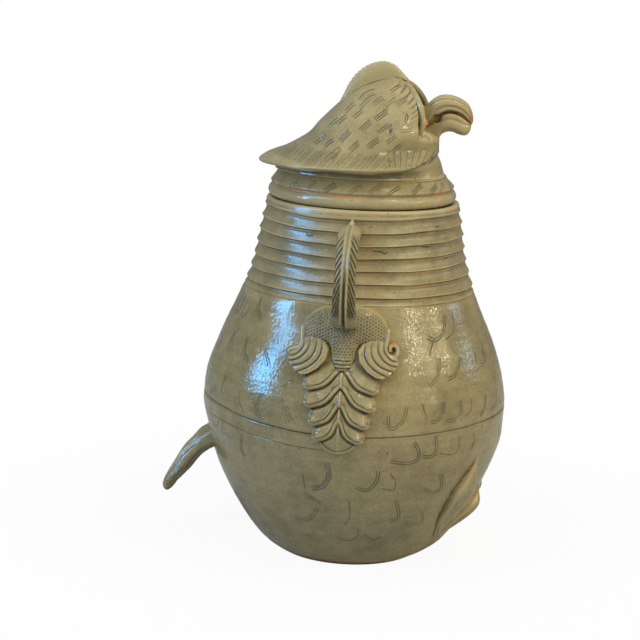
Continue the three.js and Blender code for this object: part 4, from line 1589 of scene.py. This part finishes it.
def brim_strokes(drawing, draws):
    for f in np.arange(-70, 24, 3.5):
        middle = f + draws.uniform(-0.8, 0.8)
        low = 315.5 - 0.07 * (middle + 20) * (middle < -20)
        tall = draws.uniform(7, 10)
        drawing.stroke((middle, low), [(0, 0), (0.45 * tall, 0.5 * tall), (0.8 * tall, tall)], single, 0.5)
    for k in range(9):
        lean = -1.6 + 0.55 * k
        fan = [(-lean, 0), (0.4 * lean, 5), (1.1 * lean, 10 - 0.3 * k)]
        drawing.stroke((24 + 4.1 * k, 317.5), fan, single, 0.6)


def head_strokes(skin):
    side, f, z = skin[..., 0], skin[..., 1], skin[..., 2]
    drawing = Drawing(f, z)
    draws = np.random.default_rng(17)
    short_strokes(drawing, draws)
    brim_strokes(drawing, draws)
    drawing.depth = drawing.depth * step(np.abs(side), 6, 14)
    # Painted shadow: a dark line under the lip, below the face
    drawing.stroke((0, 0), smooth_line(crease_shadow_line, 30))
    # Painted shadow: a dark band in the fold under the brim
    fold = 0.55 * step(z, 306.4, 308.4) * (1 - step(z, 309.4, 310.2)) * (1 - step(f, 34, 52))
    drawing.overlay(drawing.depth < fold, 0.0, fold)
    above_root = [(forward, height + 9.0) for forward, height in crest_root]
    drawing.stroke((0, 0), smooth_line(above_root, 40))
    return drawing


head_draw = head_strokes(head_skin)
print("points drawn on:", int((head_draw.depth > 0).sum()))

# %% [markdown]
# Short grooves are pressed side by side along the edge of the face. The glaze is worn off the
# clay between them.

# %% Flutes along the face
face_edge = curve_through([
    [332, 40], [338, 43.5], [344, 46], [352, 47.5], [360, 45.5], [366, 40.5], [371, 35], [375, 30],
    [379, 24],
])
face_flute_pitch = 3.5


def flutes(skin):
    """How deep a place lies in a flute, and how much it belongs to the clay between them"""
    side, f, z = skin[..., 0], skin[..., 1], skin[..., 2]
    inward = face_edge(z) - f
    place = (z + 0.55 * inward) / face_flute_pitch
    gap = (place - np.round(place)) * face_flute_pitch
    reach = step(inward, -1, 1.5) * (1 - step(inward, 8, 13)) * step(z, 347, 353)
    reach = reach * (1 - step(z, 374, 378)) * step(np.abs(side), 4, 9)
    return bell(gap, 0.65) * reach, reach * (1 - bell(gap, 1.0))


pressed, between_flutes = flutes(head_skin)
in_flute = (pressed > 0.2) & (head_draw.depth < 0.3)
head_draw.overlay(in_flute, 0.5 * (1 - pressed), 0.6 * pressed)
print("points in flutes:", int(in_flute.sum()))

# %% [markdown]
# The head is hollow like a cup turned over, because a thick lump of clay would crack in the kiln.
# A small ripple, the wavy lip of the brim, the folds beside the beak and a pit below each eye
# shape its outside.

# %% The head as a piece
# Heights of the hollow's rings, and the clay's thickness there
hollow = [(300, 7), (309, 7), (316, 7), (323, 7), (333, 7), (343, 7), (352, 7), (362, 7), (367, 11)]
hollow_foot = 306.3
lip_line = curve_through([
    [16, 308], [26, 311.5], [34, 313.2], [43, 315.8], [52, 319.5], [60, 324], [75, 331],
])


def head_lift(skin):
    side, f, z = skin[..., 0], skin[..., 1], skin[..., 2]
    ripple = 0.35 * np.sin(f / 6.5 + 1) * np.sin(side / 9 + z / 8)
    lip_wave = 0.45 * np.sin(head_turn * 9 + 1) * bell(z - 312, 4)
    lift = (0.5 * ripple + lip_wave) * step(z, 307, 311) - 0.6 * pressed
    eye_pit = 4.0 * bell(np.hypot(np.abs(side) - 24, z - 338.6), 2.8) * (f > 35)
    under_lip = 1.5 * step(lip_line(f) - z, 0, 1.6) * step(f, 20, 34)
    fold = 1.6 * bell(np.abs(side) - 16 - 0.5 * (345 - z), 2.4)
    fold = fold * step(z, 330, 337) * (1 - step(z, 341, 346)) * (f > 38)
    return lift - eye_pit - under_lip + fold


def on_head(rings):
    return rings * np.array([-1, -1, 1])


def head_piece():
    f, z = head_skin[..., 1], head_skin[..., 2]
    lining = np.stack([head_ring(level, inset=inset) for level, inset in reversed(hollow)])
    lining[-1, :, 2] = hollow_foot
    skin = on_head(head_skin)
    skin = skin + outward_of(skin) * head_lift(head_skin)[..., None]
    rust = 0.34 * between_flutes + 0.28 * bell(f - 46, 3) * step(z, 338, 344) + 0.2 * bell(z - 311, 2)
    numbers = with_lining({"lines_and_shade": head_draw.numbers(), "rust": rust}, lining.shape[:2], True)
    rings = np.concatenate([on_head(lining), skin])
    return ring_piece("visual_head", rings, lid_painted_light_glaze, "lid", "head_hood", numbers)


head_piece()

# %% [markdown]
# The crest is an upright fin along the top of the head. Its edge is pinched and nicked all along,
# and short grooves run down from the nicks. A dark line is painted along its foot.

# %% Crest
crest_edge = [
    (-25.5, 352.5), (-22.6, 357), (-18.6, 365.2), (-15.4, 372.3), (-10.2, 380.4), (-3.2, 386.4),
    (5.2, 390.2), (13, 391.2), (20.1, 388.8), (24.5, 385), (31, 378.6), (36.5, 372.5),
]
nick_pitch = 3.7
head_top = curve_through([[10, 380], [18, 379.8], [25, 378.8], [33, 375.2], [39, 370]])


def nicks(run, deep):
    """1 in the middle of a nick; deep is how far a place lies below the crest's edge"""
    phase = (run + 0.5 * deep) / nick_pitch
    nick = np.abs(phase - np.round(phase)) * 2
    fade = (1 - 0.55 * step(run, 38, 52)) * (0.45 + 0.55 * step(run, 12, 30))
    return (1 - step(nick, 0, 0.8)) * fade * (0.75 + 0.25 * np.sin(run / 4.1))


def crest_piece():
    edge_f, edge_z = (column[:, None] for column in columns_through(crest_edge, 420))
    root_f, root_z = (column[:, None] for column in columns_through(crest_root, 420))
    stretches = np.hypot(np.diff(edge_f[:, 0]), np.diff(edge_z[:, 0]))
    run = np.concatenate([[0], np.cumsum(stretches)])[:, None]
    around = full_turn(96)
    up = (1 + signed_power(np.cos(around), 0.6)) / 2
    tall = np.hypot(edge_f - root_f, edge_z - root_z)
    deep = (1 - up) * tall
    nick = nicks(run, deep)
    half = 3.4 * np.minimum(1, tall / 9) * (1 - 0.30 * up**2)
    side = signed_power(np.sin(around), 0.7) * half * (1 - 0.13 * nick * (1 - step(deep, 1.5, 7)))
    height = up - 0.75 / np.maximum(tall, 3) * nick * (up > 0.8)
    f = root_f + (edge_f - root_f) * height
    z = root_z + (edge_z - root_z) * height
    rust = 0.42 * bell(edge_f - 33, 5) + 0.26 * step(up, 0.75, 1)
    foot = np.where(f > 19, np.abs(z - head_top(f) + 0.6), tall - deep - 0.6)
    numbers = {"lines_and_shade": grid_of(0.6 * foot, 0.85 * (foot < 2), 0 * foot), "rust": rust}
    return ring_piece("visual_crest", grid_of(-side, -f, z), crest_painted_light_glaze, "lid", "crest", numbers)


crest_piece()

# %% [markdown]
# A rolled lip of clay rims the face on each side. It is thickest in the middle and tapers to both
# ends, where it sinks into the head.

# %% Brows
# Places along a brow: sideways, forward and height
brow_route = [
    (6.5, 29.2, 376.4), (14, 34, 372.2), (21, 38.8, 366.6), (27.4, 42.8, 359.6), (31, 45, 352.4),
    (32.6, 45.8, 346.4), (33, 44.2, 341), (31, 41, 336.4),
]
brow_forward = np.array([0.35, 1, 0.0])


def brow_piece(name, side, node):
    places, share, _ = route_through(brow_route, 130)
    along = unit(np.gradient(places, axis=0))
    out = unit(brow_forward - along * (along @ brow_forward)[:, None])
    across = np.cross(along, out)
    around = full_turn(48)
    taper = np.sqrt(np.maximum(0.03, 1 - (2 * share - 1) ** 6))[:, None]
    first = (2.5 * taper * np.cos(around))[..., None]
    second = (2.3 * taper * np.sin(around))[..., None]
    rings = places[:, None] + out[:, None] * first + across[:, None] * second
    rings = rings * np.array([-side, -1, 1])
    numbers = {"lines_and_shade": clear_of_lines(rings.shape[:2]), "rust": np.full(rings.shape[:2], 0.14)}
    return ring_piece(name, rings, lid_painted_light_glaze, "lid", node, numbers)


print("brow:", round(route_through(brow_route, 2)[2]), "mm long")

# %% [markdown]
# A pellet of bare clay is an eye. It was dented in the middle with a blunt point.

# %% Eyes
eye_radius = 3.4
eye_lean = math.radians(32)
# The eye's middle: sideways, forward and height
eye_middle = (21, 45.8, 347)


def eye_piece(name, side, node):
    tilt = np.linspace(0.02, math.pi - 0.02, 40)[:, None]
    around = full_turn(64)
    radius = eye_radius - 0.6 * bell(tilt, 0.28) - 0.25 * bell(tilt - 0.55, 0.12)
    first = radius * np.sin(tilt) * np.cos(around)
    second = radius * np.sin(tilt) * np.sin(around)
    ahead = radius * np.cos(tilt)
    x = eye_middle[0] + first * math.cos(eye_lean) + ahead * math.sin(eye_lean)
    f = eye_middle[1] - first * math.sin(eye_lean) + ahead * math.cos(eye_lean)
    return ring_piece(name, grid_of(-side * x, -f, eye_middle[2] + second), clay, "lid", node)


for side, word in ((1, "right"), (-1, "left")):
    brow_piece(f"visual_{word}_brow", side, f"{word}_brow")
    eye_piece(f"visual_{word}_eye", side, f"{word}_eye")

# %% [markdown]
# The beak is two curled strips, one over the other. The upper one is fluted lengthwise and ends
# in a hook. Each station of the tables is the top's forward and height, the underside's forward
# and height, and half the width.

# %% Measures of the beak
upper_stations = [
    [42, 355, 45, 342.6, 9], [47.5, 360.5, 49.5, 345.6, 10.5], [51.5, 364.2, 54, 349.4, 11.8],
    [56.4, 367, 58, 352.4, 12.5], [61.8, 367.7, 62, 354.5, 12.5], [67.8, 366.9, 66.2, 355.1, 12],
    [73.7, 364.6, 70.8, 354.4, 11], [78.8, 360.8, 75, 352.4, 9.5], [81.8, 355.4, 78.4, 349.9, 8],
    [83, 350.5, 80.6, 347.6, 5.5], [82.8, 347, 81.8, 346.2, 2.5],
]
lower_stations = [
    [42, 341, 46, 328, 7], [49.3, 345.2, 51.5, 331, 7.5], [53.8, 349.4, 56.5, 333, 8.5],
    [57.8, 352.8, 59.5, 337.2, 9.7], [61.8, 355.1, 64, 339.2, 10.4], [66, 355.7, 68, 339, 10.4],
    [70.6, 354.8, 72, 337.6, 10], [74.8, 352.5, 76, 336.8, 9], [78.2, 349.5, 79, 337.6, 7],
    [80.4, 347.2, 81, 340.6, 4.5], [81.4, 345.6, 81.6, 343, 2],
]
hole = (55.5, 349.3)
hook_tip = (82.5, 351)
widest = 12.5
flute_places = (2.4, 6.6, 10.2)
print("beak:", upper_stations[-1][0] - upper_stations[0][0], "mm long")

# %% [markdown]
# Where the strips part at the root there is a small hole, painted dark inside as painted shade,
# and both edges of the slit are raised to thin lips. The hook's tip is chipped, and bare clay
# shows there.

# %% Beak
def beside_flutes(x, half):
    """How far each place lies from each of the lines that the flutes follow"""
    return [np.abs(x) - place * half / widest for place in flute_places]


def beak_section(x, half, up, share, fluted, facing):
    """What flutes and lips add to the height; facing is 1 on the side of the slit"""
    flute = -0.13 * sum(bell(gap, 0.8) for gap in beside_flutes(x, half)) * (up > 0) * fluted
    lip = 0.10 * bell(np.abs(x) - 0.86 * half, 0.13 * half) * facing
    lip = lip - 0.16 * bell(np.abs(x) - 0.60 * half, 0.14 * half) * facing
    return (flute + lip) * step(share, 0.05, 0.2) * (1 - step(share, 0.9, 1))


def beak_lines(x, f, z, half, up, share, fluted):
    line = np.min([np.abs(gap) for gap in beside_flutes(x, half)], axis=0)
    depth = 0.6 * (up > 0.1) * fluted * step(share, 0.04, 0.12) * (1 - step(share, 0.85, 0.95))
    # Painted shade: the hole is painted dark
    in_hole = (np.hypot(f - hole[0], z - hole[1]) < 3.2) & (np.abs(x) > 0.5 * half)
    return grid_of(np.where(in_hole, 0, line), np.where(in_hole, 1, depth), 0 * line)


def beak_piece(name, stations, node, fluted, slit):
    """slit is -1 where the slit lies under the strip, and 1 where it lies over it"""
    top_f, top_z, low_f, low_z, half = (column[:, None] for column in columns_through(stations, 170))
    share = np.linspace(0, 1, 170)[:, None]
    around = full_turn(128)
    up = signed_power(np.cos(around), 0.72)
    x = half * signed_power(np.sin(around), 0.8)
    facing = step(up * slit, 0.2, 0.75)
    height = (1 + up * (1 + beak_section(x, half, up, share, fluted, facing))) / 2
    f = low_f + (top_f - low_f) * height
    z = low_z + (top_z - low_z) * height
    near_hole = bell(np.hypot(f - hole[0], 1.4 * (z - hole[1])), 3.0) * step(np.abs(x), 2.5, 6)
    inner = 1 - step(np.abs(x) / half, 0.35, 0.6)
    z = z + slit * facing * (1.3 * inner - 3.6 * near_hole)
    bead = 0.07 * bell(up * slit - 0.72, 0.2) - 0.08 * bell(up * slit - 0.25, 0.16)
    x = x * (1 - 0.35 * near_hole + bead * step(share, 0.1, 0.3))
    chip = 0.75 * bell(np.hypot(f - hook_tip[0], z - hook_tip[1]), 2.2)
    rust = 0.28 + chip + 0.14 * (facing > 0.5) * (1 - share)
    numbers = {"lines_and_shade": beak_lines(x, f, z, half, up, share, fluted), "rust": rust}
    return ring_piece(name, grid_of(-x, -f, z), beak_painted_light_glaze, "lid", node, numbers)


beak_piece("visual_upper_beak", upper_stations, "upper_beak", True, -1)
beak_piece("visual_lower_beak", lower_stations, "lower_beak", False, 1)

# %% [markdown]
# A lamp is a soft glowing panel that looks at the middle of the pot. Glaze is a mirror, so its
# size and place say what shines where, and its strength how brightly.

# %% Lamps
lamp_aim = 200


def soft_lamp(name, place, size, power, colour, mirrored=True, shape="ELLIPSE"):
    """place is the azimuth from the camera's side, negative to the left, the elevation above the
    pot's middle, and the distance; size is across and up, in millimetres"""
    azimuth, elevation, distance = place
    turned, raised = math.radians(azimuth), math.radians(elevation)
    near = math.cos(raised) * math.cos(turned)
    right = math.cos(raised) * math.sin(turned)
    away = view_right * right - view_forward * near + Vector((0, 0, math.sin(raised)))
    aim = Vector((0, 0, mm(lamp_aim)))
    spot = aim + mm(distance) * away
    lamp = bpy.data.lights.new(name, "AREA")
    lamp.shape = shape
    lamp.size, lamp.size_y = (mm(v) for v in size)
    lamp.energy = power
    lamp.color = colour
    made = bpy.data.objects.new(name, lamp)
    made.location = spot
    made.rotation_mode = "QUATERNION"
    made.rotation_quaternion = (aim - spot).to_track_quat("-Z", "Y")
    made.visible_glossy = mirrored
    bpy.context.scene.collection.objects.link(made)
    return made


print("lamps look at a place", lamp_aim, "mm above the floor")

# %% [markdown]
# A tall cool window stands to the left and small warm lamps hang to the right. The window is only
# mirrored and lights nothing else. Three large fills do the opposite, they light the room and are
# never mirrored: a cool one on the left, a warm one on the right and a pale one above.

# %% Light
cool, warm, glow = (0.09, 0.47, 1.0), (1.0, 0.86, 0.62), (0.62, 0.80, 1.0)
window = [
    soft_lamp("window_top", (-74, 29, 2000), (250, 940), 24, cool, shape="RECTANGLE"),
    soft_lamp("window_foot", (-76, 12, 2000), (540, 420), 23, cool, shape="RECTANGLE"),
    soft_lamp("window_upper", (-60, 46, 2000), (360, 260), 5, (0.42, 0.70, 1.0)),
]
for pane in window:
    pane.visible_diffuse = False
soft_lamp("lamp_a", (55, 31, 2000), (130, 90), 3.0, warm)
soft_lamp("lamp_b", (61, 26, 2000), (80, 60), 1.7, warm)
soft_lamp("lamp_c", (79, 23, 2000), (110, 80), 2.6, warm)
soft_lamp("lamp_d", (58, 8, 2000), (100, 60), 1.5, warm)
soft_lamp("side_glow", (106, 12, 2000), (200, 320), 1.5, glow)
for name, place, side, power, colour in [
    ("room_left", (-50, 36, 1800), 1400, 22, (0.78, 0.91, 1.0)),
    ("room_right", (42, 38, 1800), 1400, 16, (1.0, 0.82, 0.38)),
    ("room_top", (20, 76, 1800), 1200, 15, (0.82, 0.95, 1.0)),
]:
    soft_lamp(name, place, (side, side), power, colour, mirrored=False)
soft_lamp("lamp_over", (50, 56, 1800), (360, 170), 5, warm)

# %% [markdown]
# The floor is pale paper that keeps the pot's shadow. Seen from the camera it is mixed with plain
# white, more and more away from the pot, so that it turns into the white background.

# %% Floor
bpy.ops.mesh.primitive_circle_add(vertices=96, radius=9, fill_type="NGON")
floor = bpy.context.object
floor.name = "floor"
paper, shader, place = new_material("floor_paper")
shader.inputs["Base Color"].default_value = (0.47, 0.485, 0.50, 1)
shader.inputs["Roughness"].default_value = 0.9
shader.inputs["Specular IOR Level"].default_value = 0.1
white = place.node("ShaderNodeEmission", {}, {"Color": (1, 1, 1, 1), "Strength": 1.0})
from_camera = place.node("ShaderNodeLightPath", {}, {}, 0)
from_pot = place.node("ShaderNodeVectorMath", {"operation": "LENGTH"}, {0: place}, 1)
share = from_camera * (from_pot.between(0.12, 0.6) * 0.06 + 0.94)
matt = Wire(place.tree, shader.outputs["BSDF"])
blend = place.node("ShaderNodeMixShader", {}, {0: share, 1: matt, 2: white})
place.tree.links.new(blend.socket, place.tree.nodes["Material Output"].inputs["Surface"])
floor.data.materials.append(paper)
print("floor:", floor.name)

# %% [markdown]
# The world around is a faint warm light, and the camera itself sees it as plain white.

# %% Background
world = bpy.data.worlds.new("studio")
bpy.context.scene.world = world
world.use_nodes = True
sky = world.node_tree
background = sky.nodes["Background"]
background.inputs["Color"].default_value = (0.98, 0.92, 0.78, 1)
background.inputs["Strength"].default_value = 0.28
faint = Wire(sky, background.outputs[0])
plain = faint.node("ShaderNodeBackground", {}, {"Color": (1, 1, 1, 1), "Strength": 1.0})
from_camera = faint.node("ShaderNodeLightPath", {}, {}, 0)
blend = faint.node("ShaderNodeMixShader", {}, {0: from_camera, 1: faint, 2: plain})
sky.links.new(blend.socket, sky.nodes["World Output"].inputs["Surface"])
bpy.context.scene.view_settings.view_transform = "Standard"
print("world:", world.name)

# %% [markdown]
